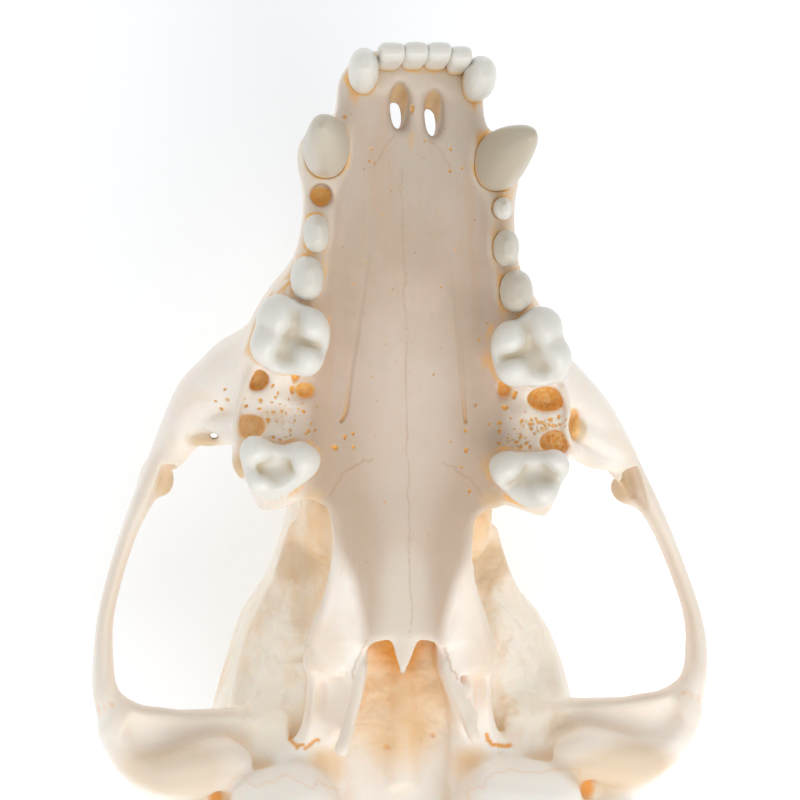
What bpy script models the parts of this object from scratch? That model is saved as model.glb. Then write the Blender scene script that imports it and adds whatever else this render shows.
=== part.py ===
# Raccoon cranium with its upper teeth and without the lower jaw, lying on the dome of its braincase.
# Lengths are millimetres until an object is made, which turns them into metres.
# X points to the animal's left, Y to the snout and Z to the skull's underside, which looks up.

import math

import bmesh
import bpy
import numpy as np
import openvdb

# Driving dimensions: heights over the face that the skull rests on, and half widths
PALATE = 44.0            # bony palate
GUM = 44.8               # rim of the tooth sockets
BASE = 36.0              # underside of the braincase
ARCH = 29.0              # middle of the cheek arches
CROWN = 50.0             # top of the cheek teeth
BREADTH = 36.0           # middle of the skull to the outside of a cheek arch
BRAINCASE = 23.4         # middle of the skull to the side of the braincase
REST_DEPTH = 0.5         # how much of the dome the resting face takes off

SOCKET_GAP = 0.40        # between a tooth's root and its socket
BONE_STEP = 0.55         # spacing of the grid on which the bone's forms are blended
TOOTH_STEP = 0.28
BONE_FACES = 4900        # triangles that the cranium keeps before its sockets are cut
MIDDLE = (0.91, 0.32, 0)  # middle of the whole skull's box, which becomes the origin
METRES = 0.001


# Forms: closed meshes given as points and triangles
def solid(mesh):
    """Points and triangles of a closed bmesh."""
    bmesh.ops.triangulate(mesh, faces=mesh.faces)
    mesh.verts.index_update()
    points = np.array([v.co for v in mesh.verts], np.float32)
    triangles = np.array([[v.index for v in f.verts] for f in mesh.faces], np.uint32)
    mesh.free()
    return points, triangles


def skin(rings):
    """Closed form through a row of rings that have equally many points."""
    mesh = bmesh.new()
    loops = [[mesh.verts.new(p) for p in ring] for ring in rings]
    around = len(loops[0])
    for one, two in zip(loops, loops[1:]):
        for i in range(around):
            j = (i + 1) % around
            mesh.faces.new((one[i], one[j], two[j], two[i]))
    mesh.faces.new(loops[0][::-1])
    mesh.faces.new(loops[-1])
    return solid(mesh)


def curve(rows, parts, closed=False):
    """Smooth run through rows of numbers, with so many steps from each row to the next."""
    rows = np.array(rows, float)
    if closed:
        ends = np.vstack([rows[-1:], rows, rows[:2]])
    else:
        ends = np.vstack([2 * rows[:1] - rows[1:2], rows, 2 * rows[-1:] - rows[-2:-1]])
    made = []
    for a, b, c, d in zip(ends, ends[1:], ends[2:], ends[3:]):
        square = a - 2.5 * b + 2 * c - d / 2
        cube = 1.5 * (b - c) + (d - a) / 2
        for t in np.arange(parts) / parts:
            made.append(b + t * (c - a) / 2 + t ** 2 * square + t ** 3 * cube)
    if not closed:
        made.append(rows[-1])
    return np.array(made)


def squared(angle, power):
    """Cosine and sine of an angle, drawn towards a square's sides by the power."""
    c, s = math.cos(angle), math.sin(angle)
    return math.copysign(abs(c) ** (2 / power), c), math.copysign(abs(s) ** (2 / power), s)


def trunk(stations, power=2.4, around=28):
    """Form along Y. A station is y, lowest z, highest z, half width there and half width here."""
    rings = []
    for y, low, high, low_half, high_half in curve(stations, 4):
        ring = []
        for k in range(around):
            c, s = squared(2 * math.pi * k / around, power)
            half = low_half + (high_half - low_half) * (s + 1) / 2
            ring.append((half * c, y, (low + high) / 2 + (high - low) / 2 * s))
        rings.append(ring)
    return skin(rings)


def slab(stations, power=4.0, around=24):
    """Form along Y. A station is y, inner x, outer x, lowest z and highest z."""
    rings = []
    for y, inner, outer, low, high in curve(stations, 4):
        ring = []
        for k in range(around):
            c, s = squared(2 * math.pi * k / around, power)
            x = (inner + outer) / 2 + (outer - inner) / 2 * c
            ring.append((x, y, (low + high) / 2 + (high - low) / 2 * s))
        rings.append(ring)
    return skin(rings)


def bar(stations, up=(0, 0, 1), power=2.2, around=14):
    """Form along a bent line. A station is x, y, z, width across and height towards up."""
    rows = curve(stations, 4)
    path = rows[:, :3]
    ahead = np.gradient(path, axis=0)
    rings = []
    for place, way, width, height in zip(path, ahead, rows[:, 3], rows[:, 4]):
        side = np.cross(way, up)
        side = side / np.linalg.norm(side)
        rise = np.cross(side, way)
        rise = rise / np.linalg.norm(rise)
        ring = []
        for k in range(around):
            c, s = squared(2 * math.pi * k / around, power)
            ring.append(place + side * width / 2 * c + rise * height / 2 * s)
        rings.append(ring)
    return skin(rings)


def ball(centre, radii):
    """Egg-shaped form with its radii along X, Y and Z."""
    mesh = bmesh.new()
    bmesh.ops.create_icosphere(mesh, subdivisions=3, radius=1.0)
    bmesh.ops.scale(mesh, vec=radii, verts=mesh.verts)
    bmesh.ops.translate(mesh, vec=centre, verts=mesh.verts)
    return solid(mesh)


def mirrored(form):
    """The same form on the other side of the skull."""
    points, triangles = form
    return points * np.array([-1, 1, 1], np.float32), triangles[:, ::-1].copy()


class Clay:
    """A block of space that holds the distance to a surface, on which forms are blended."""

    def __init__(self, low, high, step):
        self.low = np.array(low, float)
        self.step = step
        self.size = np.ceil((np.array(high) - self.low) / step).astype(int)
        self.far = 6.0
        self.values = np.full(self.size, self.far, np.float32)

    def measure(self, form, reach):
        """Where a form's neighbourhood lies in the block, and the distances to the form there."""
        points, triangles = form
        points = (points - self.low) / self.step
        margin = reach / self.step
        first = np.clip(np.floor(points.min(0) - margin).astype(int), 0, self.size)
        last = np.clip(np.ceil(points.max(0) + margin).astype(int) + 1, 0, self.size)
        grid = openvdb.FloatGrid.createLevelSetFromPolygons(
            points.astype(np.float32), triangles=triangles, halfWidth=float(margin))
        distances = np.zeros(last - first, np.float32)
        grid.copyToArray(distances, ijk=tuple(int(i) for i in first))
        return tuple(slice(a, b) for a, b in zip(first, last)), distances * self.step

    def add(self, form, blend=1.0):
        place, new = self.measure(form, blend + 1.2)
        old = self.values[place]
        share = np.maximum(blend - np.abs(old - new), 0) / blend
        self.values[place] = np.minimum(old, new) - share * share * blend / 4

    def cut(self, form, blend=0.5):
        place, new = self.measure(form, blend + 1.2)
        old = self.values[place]
        share = np.maximum(blend - np.abs(old + new), 0) / blend
        self.values[place] = np.maximum(old, -new) + share * share * blend / 4

    def soften(self, rounds):
        """Rounds off what is sharper than the grid."""
        for _ in range(rounds):
            for axis in range(3):
                v = np.moveaxis(self.values, axis, 0)
                v[1:-1] = (v[:-2] + 2 * v[1:-1] + v[2:]) / 4

    def surface(self):
        """Points and four-sided faces of the largest body in the block."""
        grid = openvdb.FloatGrid(self.far)
        grid.copyFromArray(self.values)
        points, quads = grid.convertToQuads(isovalue=0.0)
        quads = quads[largest_body(len(points), quads)]
        used, places = np.unique(quads, return_inverse=True)
        return points[used] * self.step + self.low, places.reshape(-1, 4)


def largest_body(count, quads):
    """Which faces belong to the body that has the most of them."""
    label = np.arange(count)
    while True:
        lowest = label[quads].min(1)
        before = label.copy()
        for corner in range(4):
            np.minimum.at(label, quads[:, corner], lowest)
        label = label[label]
        if np.array_equal(label, before):
            break
    face_label = label[quads[:, 0]]
    names, sizes = np.unique(face_label, return_counts=True)
    return face_label == names[sizes.argmax()]


# The cranium, form by form
def both(clay, form, blend, action="add"):
    """Adds or cuts a form and its mirror image."""
    getattr(clay, action)(form, blend)
    getattr(clay, action)(mirrored(form), blend)


def add_braincase(clay):
    clay.add(trunk([
        (4, 3.0, 31, 11.5, 9.5), (-4, 0.6, 33.5, 14.6, 12.5), (-9.5, -0.3, 34.6, 18.8, 16.5),
        (-15, -REST_DEPTH, 35.2, 21.0, 19.0), (-21, -0.2, 35.6, 22.6, 20.6),
        (-28, 0.9, BASE, BRAINCASE, 22.2), (-35, 3.0, BASE, BRAINCASE - 0.2, 22.6),
        (-42, 6.2, 35.8, 21.6, 22.0), (-48, 10.0, 35.2, 18.6, 20.0), (-52.5, 14.0, 34.4, 14.6, 16.5),
        (-54.6, 18.0, 33.2, 10.0, 12.0)], 2.2), 1.0)


def add_face(clay):
    clay.add(trunk([
        (55.6, 37.5, PALATE, 4.2, 5.0), (54.2, 33.0, PALATE, 5.2, 6.6), (51, 27.6, PALATE, 5.8, 7.4),
        (48, 23.4, PALATE, 6.2, 8.2), (44.5, 20.4, 43.6, 7.2, 10.6), (40, 17.8, 43.4, 7.6, 10.6),
        (35, 15.0, 43.2, 8.4, 11.0), (30, 12.2, 43.0, 9.6, 12.4), (25, 9.4, 42.6, 11.6, 13.4),
        (20, 6.8, 42.0, 12.6, 12.0), (14, 4.6, 41.4, 12.6, 9.6), (8, 3.0, 41.0, 13.4, 8.2),
        (2, 1.6, 40.4, 13.6, 7.6), (-4, 1.0, 38.5, 14.8, 8.6), (-9, 2.6, 36.4, 15.6, 10.0),
        (-13, 6.0, 34.0, 13.0, 9.0)], 2.6), 2.5)


def add_tooth_ridges(clay):
    ridge = bar([
        (-1.0, 54.6, 40.6, 4.6, 7.0), (3.0, 54.2, 40.6, 4.6, 7.2), (5.6, 52.6, 40.6, 4.8, 7.6),
        (6.4, 50.0, 40.6, 3.8, 7.8), (7.0, 47.6, 40.8, 4.0, 7.8), (9.0, 44.4, 40.8, 6.0, 8.2),
        (9.7, 40.2, 40.6, 4.5, 8.2), (9.8, 36.4, 40.6, 4.5, 8.2), (10.6, 31.8, 40.4, 5.0, 8.4),
        (12.4, 27.0, 40.2, 7.4, 8.8), (13.9, 22.0, 40.2, 8.4, 9.0), (14.4, 16.0, 39.6, 9.0, 8.4),
        (14.0, 10.0, 39.8, 8.8, 8.4), (12.7, 5.6, 39.6, 7.6, 7.2)], power=2.8)
    both(clay, ridge, 1.6)
    both(clay, bar([
        (9.3, 44.4, 41.0, 5.6, 6.8), (9.0, 42.0, 35.0, 4.8, 5.4), (7.8, 38.4, 29.0, 3.6, 4.0),
        (6.6, 35.4, 25.0, 2.0, 2.4)], up=(0, 1, 0)), 2.0)


def add_palate(clay):
    clay.add(trunk([
        (54, 40.8, 44.0, 5.5, 5.5), (50, 40.8, 44.0, 7.2, 7.2), (45, 40.8, 43.6, 9.0, 9.0),
        (35, 40.8, 43.2, 9.8, 9.8), (25, 40.6, 43.0, 11.0, 11.0), (14, 40.4, 43.0, 12.0, 12.0),
        (7, 40.2, 43.1, 11.6, 11.6), (3, 40.0, 43.0, 8.6, 8.6), (-2, 39.8, 42.9, 7.6, 7.6),
        (-6, 39.8, 42.8, 7.8, 7.8), (-10.4, 40.0, 42.8, 8.6, 8.6)], 6.0, 36), 0.8)
    clay.add(bar([
        (0.2, -8.0, 41.4, 4.2, 2.0), (0.0, -12.0, 41.6, 1.9, 1.7), (-0.2, -14.6, 41.8, 0.7, 0.9)]), 1.0)


# The hooks behind the palate, right and left: x, y, z, width and height along each
HOOKS = (
    ((-4.6, -12.0, 40.4, 1.6, 3.4), (-5.0, -14.5, 40.2, 1.9, 4.4), (-5.3, -16.5, 40.3, 1.7, 4.8),
     (-5.9, -18.9, 40.6, 1.6, 4.8), (-6.3, -20.8, 41.6, 1.8, 3.8), (-6.8, -21.9, 42.4, 2.1, 2.6),
     (-7.0, -22.7, 42.7, 1.0, 1.4)),
    ((4.8, -12.0, 40.4, 1.6, 3.4), (5.4, -14.4, 40.2, 1.8, 4.4), (6.4, -16.6, 40.3, 1.9, 4.8),
     (7.4, -18.8, 40.6, 1.7, 4.8), (7.9, -20.2, 41.6, 1.6, 3.8), (8.2, -21.2, 42.2, 1.3, 2.4),
     (8.3, -21.7, 42.4, 0.7, 1.2)),
)


def add_pterygoids(clay):
    """Palatine plates that end in outer wings, lower sheets behind them, hooks and two thin ridges."""
    both(clay, slab([
        (5, 5.0, 8.2, 34, 42.6), (0, 4.9, 7.8, 33, 42.4), (-4, 4.6, 8.1, 32.5, 42.3),
        (-7.5, 4.1, 8.8, 32.5, 42.2), (-10.2, 3.8, 10.2, 32.5, 42.0), (-12.4, 4.0, 11.1, 32.5, 41.6),
        (-13.7, 4.2, 10.4, 32.5, 41.4), (-14.2, 4.4, 9.4, 32.5, 41.4)]), 1.0)
    both(clay, slab([
        (-11.0, 4.4, 9.6, 33, 39.8), (-15.0, 4.8, 8.6, 33, 40.2), (-17.2, 5.6, 8.4, 33, 39.8),
        (-19.6, 6.2, 8.9, 33, 38.8), (-21.6, 7.0, 9.7, 33, 37.6), (-23.4, 7.8, 11.0, 33, 36.6)]), 0.8)
    both(clay, bar([
        (9.8, -12.6, 38.0, 1.3, 4.6), (9.9, -16.5, 37.0, 1.1, 4.6), (10.2, -19.5, 36.0, 1.2, 4.0),
        (10.9, -22.2, 35.2, 1.7, 3.4), (13.2, -24.4, 34.4, 2.2, 3.0)]), 0.8)
    for hook in HOOKS:
        clay.add(bar(hook), 0.6)


def add_cheek_arches(clay):
    both(clay, bar([
        (14.5, 20.4, 37.8, 9.0, 9.0), (18.6, 18.6, 37.0, 8.0, 9.6), (22.0, 16.2, 36.0, 6.4, 9.4),
        (24.5, 12.8, 35.0, 5.0, 9.2), (26.6, 9.5, 33.8, 3.6, 9.0), (28.7, 6.0, 32.4, 2.6, 8.6),
        (30.5, 2.5, 31.0, 2.0, 8.0), (31.9, -1.0, 30.0, 1.8, 7.4), (33.1, -4.5, 29.3, 1.8, 7.0),
        (34.2, -8.5, ARCH, 1.9, 6.6), (BREADTH - 1.4, -12.8, ARCH, 2.4, 6.2),
        (BREADTH - 1.7, -16.5, 29.4, 3.0, 5.8), (32.6, -20.2, 30.0, 4.4, 5.4),
        (29.6, -23.6, 30.4, 6.0, 5.2), (26.0, -27.0, 30.6, 7.0, 5.4), (21.6, -30.8, 31.0, 9.0, 7.0)]), 1.8)
    both(clay, bar([
        (27.9, 7.1, 31.4, 3.2, 4.2), (27.2, 6.9, 28.8, 3.2, 4.0), (26.8, 6.8, 26.6, 2.6, 3.2),
        (26.5, 6.8, 25.0, 1.4, 1.8)], up=(0, 1, 0)), 1.0)
    both(clay, bar([
        (16.6, 20.3, 36.5, 7.0, 5.6), (14.0, 21.8, 27.0, 6.4, 6.4), (11.6, 22.2, 18.0, 6.0, 7.4),
        (8.6, 20.6, 11.0, 5.0, 7.0)], up=(0, 1, 0)), 3.0)


def add_jaw_joints(clay):
    """A trough across each side for the lower jaw's hinge, with a tall wall behind it."""
    both(clay, bar([
        (13.0, -24.8, 30.6, 14.4, 8.4), (20.0, -24.4, 30.8, 12.2, 7.0), (26.0, -23.6, 31.0, 10.8, 6.2),
        (30.2, -21.6, 31.0, 8.4, 5.6), (33.4, -19.2, 30.6, 4.4, 4.6)], power=2.8), 2.0)
    both(clay, bar([
        (16.6, -21.0, 38.0, 5.0, 6.6), (19.6, -21.3, 36.7, 6.8, 8.6), (24.0, -21.7, 36.3, 7.2, 9.0),
        (28.5, -21.4, 36.0, 7.0, 8.6), (32.2, -19.8, 35.8, 5.6, 7.6)]), 0.6, "cut")
    both(clay, bar([
        (33.2, -21.6, 31.2, 2.6, 3.8), (31.0, -24.6, 31.2, 3.4, 5.0), (27.0, -25.8, 32.2, 5.2, 7.0),
        (23.4, -25.0, 33.4, 6.0, 8.8), (20.6, -24.5, 33.8, 6.2, 9.6), (18.6, -24.9, 33.2, 4.4, 8.0)],
        power=2.8), 0.9)


def add_ear_bones(clay):
    both(clay, bar([
        (14.0, -25.2, 38.6, 8.6, 5.0), (13.8, -26.6, 38.2, 12.0, 9.6), (13.4, -30.0, 37.6, 14.4, 13.8),
        (13.0, -35.0, 37.4, 16.0, 16.0), (12.8, -40.4, 37.0, 13.4, 13.4), (12.6, -44.6, 36.6, 6.0, 6.4)],
        power=2.6, around=24), 0.6)
    both(clay, bar([
        (15.0, -33.5, 36.0, 9.0, 9.0), (21.0, -33.6, 34.6, 7.0, 7.4), (26.2, -34.0, 33.4, 6.4, 6.6)]), 2.0)
    both(clay, bar([
        (22.0, -34.0, 34.4, 3.0, 3.4), (25.0, -34.2, 33.6, 3.8, 4.2),
        (28.6, -34.4, 32.8, 4.2, 4.6)]), 0.5, "cut")
    both(clay, bar([
        (22.4, -41.0, 30.0, 6.0, 7.0), (23.6, -42.0, 35.0, 4.4, 5.4), (24.0, -42.6, 39.0, 2.2, 2.8)],
        up=(0, 1, 0)), 2.5)
    both(clay, bar([
        (16.4, -46.6, 33.0, 7.0, 5.0), (17.6, -48.0, 38.0, 4.6, 3.6), (18.2, -48.6, 43.0, 2.2, 1.8)],
        up=(0, 1, 0)), 2.0)


def add_back_of_skull(clay):
    both(clay, ball((7.0, -53.2, 32.4), (4.2, 3.6, 5.2)), 1.5)
    both(clay, bar([
        (23.0, -41.0, 31.0, 3.0, 5.0), (22.6, -45.4, 24.0, 2.2, 4.0), (18.8, -50.2, 16.8, 2.0, 4.2),
        (10.4, -53.2, 12.6, 2.0, 4.2), (-1.0, -54.2, 11.4, 2.2, 4.2)], up=(0, 1, 0)), 2.4)
    clay.add(bar([
        (0, -20, 1.6, 2.0, 1.0), (0, -32, 2.6, 1.8, 2.0), (0, -44, 7.2, 1.8, 2.8),
        (0, -53.0, 12.0, 2.0, 3.4)]), 2.0)
    clay.cut(ball((0, -57.0, 28.0), (7.0, 11.0, 6.0)), 1.0)


def add_brow_points(clay):
    both(clay, bar([
        (8.6, 11.0, 7.4, 10.0, 5.6), (12.4, 8.8, 7.4, 6.6, 4.4), (15.4, 6.8, 8.4, 2.6, 2.2)]), 3.0)


def shape_temples(clay):
    """Behind the orbit each side wall is hollow, and a low crest runs back along its outside."""
    both(clay, ball((10.6, -3.0, 33.0), (2.2, 8.0, 6.4)), 1.6, "cut")
    both(clay, bar([
        (11.2, 1.5, 25.6, 2.0, 2.0), (13.2, -5.0, 24.6, 2.2, 2.2), (15.6, -9.6, 24.6, 2.2, 2.2),
        (17.4, -14.0, 24.8, 2.2, 2.2), (18.6, -19.0, 25.4, 2.0, 2.0)]), 1.8)


# The two slits through the front of the palate: x and y of the opening's middle and of the depth's
PALATE_SLITS = ((-1.4, 50.4, -1.8, 49.2), (2.5, 49.8, 2.2, 48.6))


def cut_nose(clay):
    clay.cut(trunk([
        (62, 8.0, 36.6, 5.6, 5.2), (56, 11.0, 37.4, 5.4, 5.2), (52.4, 15.0, 39.0, 5.2, 5.8),
        (49.4, 19.0, 40.6, 5.0, 6.2), (46.6, 23.2, 41.0, 4.8, 6.6), (42, 22.0, 41.0, 4.8, 6.8),
        (36, 22.0, 40.4, 4.4, 6.6), (31, 24.0, 38.0, 3.0, 4.4)], 2.6), 0.8)
    clay.add(bar([
        (0, 51.0, 41.0, 1.4, 2.0), (0, 46.0, 39.6, 1.2, 4.0), (0, 42.0, 36.0, 1.0, 11.0),
        (0, 37.0, 32.0, 1.0, 20.0), (0, 30.0, 31.0, 1.2, 18.0)]), 0.6)
    for x, y, deep_x, deep_y in PALATE_SLITS:
        clay.cut(bar([
            (x, y, 46.0, 2.1, 5.5), (x, y, 43.6, 2.1, 5.5), (x, y - 0.3, 42.4, 1.9, 5.0),
            (deep_x, deep_y, 40.8, 1.4, 3.5), (deep_x, deep_y, 36.0, 1.4, 3.5)], up=(0, 1, 0)), 0.2)


def cut_throat(clay):
    clay.cut(trunk([
        (5, 36.4, 40.2, 3.0, 3.0), (0, 35.4, 41.2, 4.2, 4.2), (-6, 35.0, 41.4, 4.3, 4.2),
        (-11, 34.9, 41.4, 3.9, 3.7)], 3.4), 0.5)
    clay.cut(slab([
        (-9.9, -3.6, 3.5, 34.9, 52), (-12.0, -3.8, 4.0, 34.9, 52), (-14.7, -4.1, 4.6, 35.1, 52),
        (-16.6, -4.6, 5.5, 35.3, 52), (-18.8, -5.2, 6.5, 35.6, 52), (-22, -6.0, 7.4, 35.9, 52),
        (-26, -6.4, 7.0, BASE, 52)], 4.0, 28), 0.4)
    clay.add(bar([
        (0.2, -6.0, 42.0, 4.4, 2.0), (0.1, -10.6, 42.0, 2.8, 1.8), (0.0, -12.6, 42.0, 1.6, 1.4),
        (-0.2, -14.7, 42.0, 0.6, 0.9)]), 0.5)
    both(clay, ball((8.9, -15.8, 41.4), (0.75, 1.35, 3.2)), 0.3, "cut")


def cut_orbits(clay):
    both(clay, ball((16.4, 27.6, 32.6), (1.5, 7.0, 2.2)), 0.6, "cut")
    both(clay, bar([
        (21.4, -28.2, 37.0, 1.4, 2.8), (21.4, -28.3, 32.0, 1.1, 2.2)], up=(0, 1, 0)), 0.3, "cut")


# Roots of the lost first molars by side: x, y and half widths
EMPTY_MOLAR_SOCKETS = {
    -1: ((17.0, 19.7, 1.45, 1.3), (17.6, 14.4, 1.7, 1.4), (11.6, 18.5, 1.0, 0.8)),
    1: ((15.7, 17.8, 2.3, 1.45), (16.7, 12.9, 1.8, 1.4), (11.0, 18.6, 0.8, 0.9)),
}


def leaning(points):
    """The skull's slight natural skew: its right side stands forward and both arches lean to the right."""
    x, y = points[:, 0], points[:, 1]
    outside = np.clip((np.abs(x) - 12) / 8, 0, 1)
    moved = points.copy()
    moved[:, 0] -= outside * np.interp(y, (-12, 4, 18), (-0.9, 0.0, 0.75))
    moved[:, 1] -= x * np.interp(y, (-18, 0, 18), (-0.03, 0.0, 0.045))
    return moved


def straightened(form):
    """A form measured on the leaning skull, as it was before the skull leaned."""
    points, triangles = form
    return (2 * points - leaning(points)).astype(np.float32), triangles


def cut_empty_sockets(clay):
    """Sockets whose teeth are lost: a first premolar and both first molars."""
    clay.cut(straightened(ball((-10.0, 40.4, 44.2), (1.2, 1.4, 4.6))), 0.2)
    for side, roots in EMPTY_MOLAR_SOCKETS.items():
        for x, y, wide, long in roots:
            clay.cut(straightened(ball((side * x, y, 44.0), (wide, long, 4.6))), 0.3)


def shape_bone():
    clay = Clay((-40, -60, -2), (40, 60, 52), BONE_STEP)
    add_braincase(clay)
    add_face(clay)
    add_tooth_ridges(clay)
    add_palate(clay)
    add_pterygoids(clay)
    add_cheek_arches(clay)
    add_jaw_joints(clay)
    add_ear_bones(clay)
    add_back_of_skull(clay)
    add_brow_points(clay)
    shape_temples(clay)
    cut_nose(clay)
    cut_throat(clay)
    cut_orbits(clay)
    cut_empty_sockets(clay)
    clay.soften(1)
    points, quads = clay.surface()
    return leaning(points), quads


# The teeth, each in a block of its own
def tooth_surface(adds, cuts=()):
    points = np.vstack([form[0] for form in adds])
    clay = Clay(points.min(0) - 1.5, points.max(0) + 1.5, TOOTH_STEP)
    for form in adds:
        clay.add(form, 0.9)
    for form in cuts:
        clay.cut(form, 0.6)
    return clay.surface()


def incisor(x, wide, back=0.0):
    y = 56.4 - back
    return tooth_surface([bar([
        (x * 0.94, y - 2.0, 40.2, wide * 0.4, 1.3), (x * 0.96, y - 1.4, 42.2, wide * 0.66, 1.8),
        (x, y - 0.7, GUM, wide * 0.86, 2.2), (x, y - 0.5, 47.0, wide, 2.8), (x, y - 0.1, 49.0, wide, 2.5),
        (x, y + 0.1, 50.3, wide * 0.92, 1.7)], up=(0, 1, 0), power=3.0)])


def corner_incisor(side, x, y):
    return tooth_surface([bar([
        (side * (x - 1.2), y - 1.9, 39.8, 1.3, 1.6), (side * (x - 0.8), y - 1.3, 42.0, 2.0, 2.8),
        (side * (x - 0.1), y - 0.3, GUM, 2.6, 3.7), (side * x, y + 0.1, 47.0, 2.9, 4.3),
        (side * (x + 0.1), y + 0.5, 49.2, 2.8, 4.0), (side * (x + 0.2), y + 0.8, 50.8, 2.2, 2.6),
        (side * (x + 0.2), y + 0.9, 51.6, 1.2, 1.4)], up=(0, 1, 0))])


# Each canine from its root to its tip: x, y, z, width and length
CANINES = {
    "right": ((-8.9, 42.6, 35.0, 2.4, 3.0), (-9.3, 44.2, 40.0, 3.8, 5.0), (-9.65, 45.4, 44.6, 4.8, 6.0),
              (-9.75, 45.9, 47.6, 4.9, 5.9), (-10.1, 46.8, 51.2, 4.1, 4.9), (-10.6, 47.8, 54.2, 2.7, 3.2),
              (-10.8, 48.1, 55.6, 1.3, 1.5)),
    "left": ((8.9, 42.2, 35.0, 2.4, 3.0), (9.2, 43.4, 40.0, 3.8, 5.2), (9.5, 44.3, 44.6, 4.7, 6.3),
             (9.7, 44.7, 47.6, 4.9, 6.4), (10.4, 45.8, 51.2, 4.4, 5.2), (11.4, 46.9, 54.6, 2.9, 3.2),
             (11.9, 47.4, 56.4, 1.4, 1.5)),
}


def canine(side):
    return tooth_surface([bar(CANINES[side], up=(0, 1, 0))])


def premolar(x, y, wide, long, top):
    inward = -0.6 if x > 0 else 0.6
    return tooth_surface([bar([
        (x + inward, y, 39.0, wide * 0.3, long * 0.4), (x + inward, y, 42.0, wide * 0.5, long * 0.66),
        (x + inward * 0.4, y, GUM, wide * 0.78, long * 0.86), (x, y, 46.2, wide, long),
        (x, y, top - 1.2, wide * 0.78, long * 0.82), (x, y, top, wide * 0.26, long * 0.46)],
        up=(0, 1, 0))])


def column(outline, levels):
    """Form along Z over a smooth outline. A level is a height and the outline's share there."""
    ring = curve(outline, 4, closed=True)
    middle = ring.mean(0)
    return skin([[(*(middle + (p - middle) * share), z) for p in ring] for z, share in levels])


def cheek_tooth(outline, cusps, valleys, top):
    levels = ((37.0, 0.3), (40.0, 0.5), (43.4, 0.7), (GUM, 0.84), (46.0, 0.98),
              (top - 1.6, 1.0), (top - 0.6, 0.92), (top, 0.66))
    adds = [column(outline, levels)]
    adds += [ball((x, y, top - 1.0), (radius, radius * 1.1, 1.6)) for x, y, radius in cusps]
    cuts = [bar([(x, y, top + 0.6, wide, 2 * (deep + 0.6)) for x, y, wide, deep in valley])
            for valley in valleys]
    return tooth_surface(adds, cuts)


# Each cheek tooth's outline, its cusps as x, y and radius, and the courses of its valleys as x, y, width
# and depth
FOURTH_PREMOLARS = {
    "right": (((-13.8, 29.0), (-12.2, 28.3), (-10.9, 27.5), (-9.6, 26.2), (-9.2, 24.7), (-9.5, 23.2),
               (-10.7, 21.6), (-12.6, 20.8), (-14.4, 20.6), (-16.1, 21.2), (-17.5, 23.0), (-17.5, 24.9),
               (-16.8, 27.8), (-15.4, 29.2)),
              ((-14.9, 26.9, 2.0), (-16.0, 23.8, 1.8), (-11.3, 25.8, 1.8), (-11.8, 22.5, 1.8)),
              (((-13.2, 28.6, 0.7, 0.7), (-13.1, 26.2, 0.9, 1.0), (-13.6, 24.2, 1.5, 1.3),
                (-14.3, 22.7, 2.4, 1.4), (-14.7, 21.9, 1.4, 0.9)),
               ((-13.4, 24.8, 0.6, 1.1), (-12.0, 24.2, 0.6, 1.1), (-10.1, 23.6, 0.7, 0.9)))),
    "left": (((13.5, 28.1), (15.0, 27.6), (16.4, 25.4), (17.2, 23.8), (17.6, 22.2), (17.1, 20.5),
              (15.6, 19.7), (13.7, 19.4), (11.6, 19.8), (10.2, 20.7), (9.1, 22.4), (9.0, 24.4),
              (10.0, 26.0), (11.6, 26.7)),
             ((14.6, 26.0, 2.0), (15.8, 22.8, 1.8), (11.0, 24.6, 1.8), (11.3, 21.6, 1.8)),
             (((12.5, 27.2, 0.7, 0.7), (13.0, 25.1, 0.9, 1.0), (13.3, 23.2, 1.5, 1.3),
               (14.4, 21.7, 2.4, 1.4), (14.7, 20.8, 1.4, 0.9)),
              ((13.1, 23.6, 0.6, 1.1), (11.7, 23.0, 0.6, 1.1), (9.6, 22.5, 0.7, 0.9)))),
}
SECOND_MOLARS = {
    "right": (((-18.7, 12.4), (-17.8, 13.4), (-16.4, 13.0), (-14.2, 12.6), (-11.8, 12.6), (-10.1, 11.6),
               (-10.4, 9.8), (-12.6, 7.8), (-15.0, 6.5), (-16.8, 7.0), (-18.2, 9.0), (-18.8, 11.0)),
              ((-17.1, 11.9, 1.4), (-16.6, 8.8, 1.3), (-12.2, 11.0, 1.7)),
              (((-16.6, 9.9, 1.4, 0.8), (-15.0, 9.9, 2.2, 1.2), (-13.5, 10.3, 1.5, 0.8)),)),
    "left": (((9.1, 10.8), (10.8, 11.7), (14.0, 12.0), (16.6, 11.7), (17.8, 10.6), (17.2, 8.7),
              (15.9, 6.7), (13.8, 5.7), (11.8, 6.6), (10.2, 8.3)),
             ((16.2, 10.7, 1.4), (14.9, 7.6, 1.4), (10.9, 10.1, 1.7)),
             (((16.2, 9.4, 1.3, 0.8), (14.9, 9.7, 2.2, 1.2), (13.4, 9.9, 1.5, 0.8)),
              ((12.9, 9.2, 0.8, 0.7), (11.2, 8.4, 0.9, 0.8)))),
}


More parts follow.
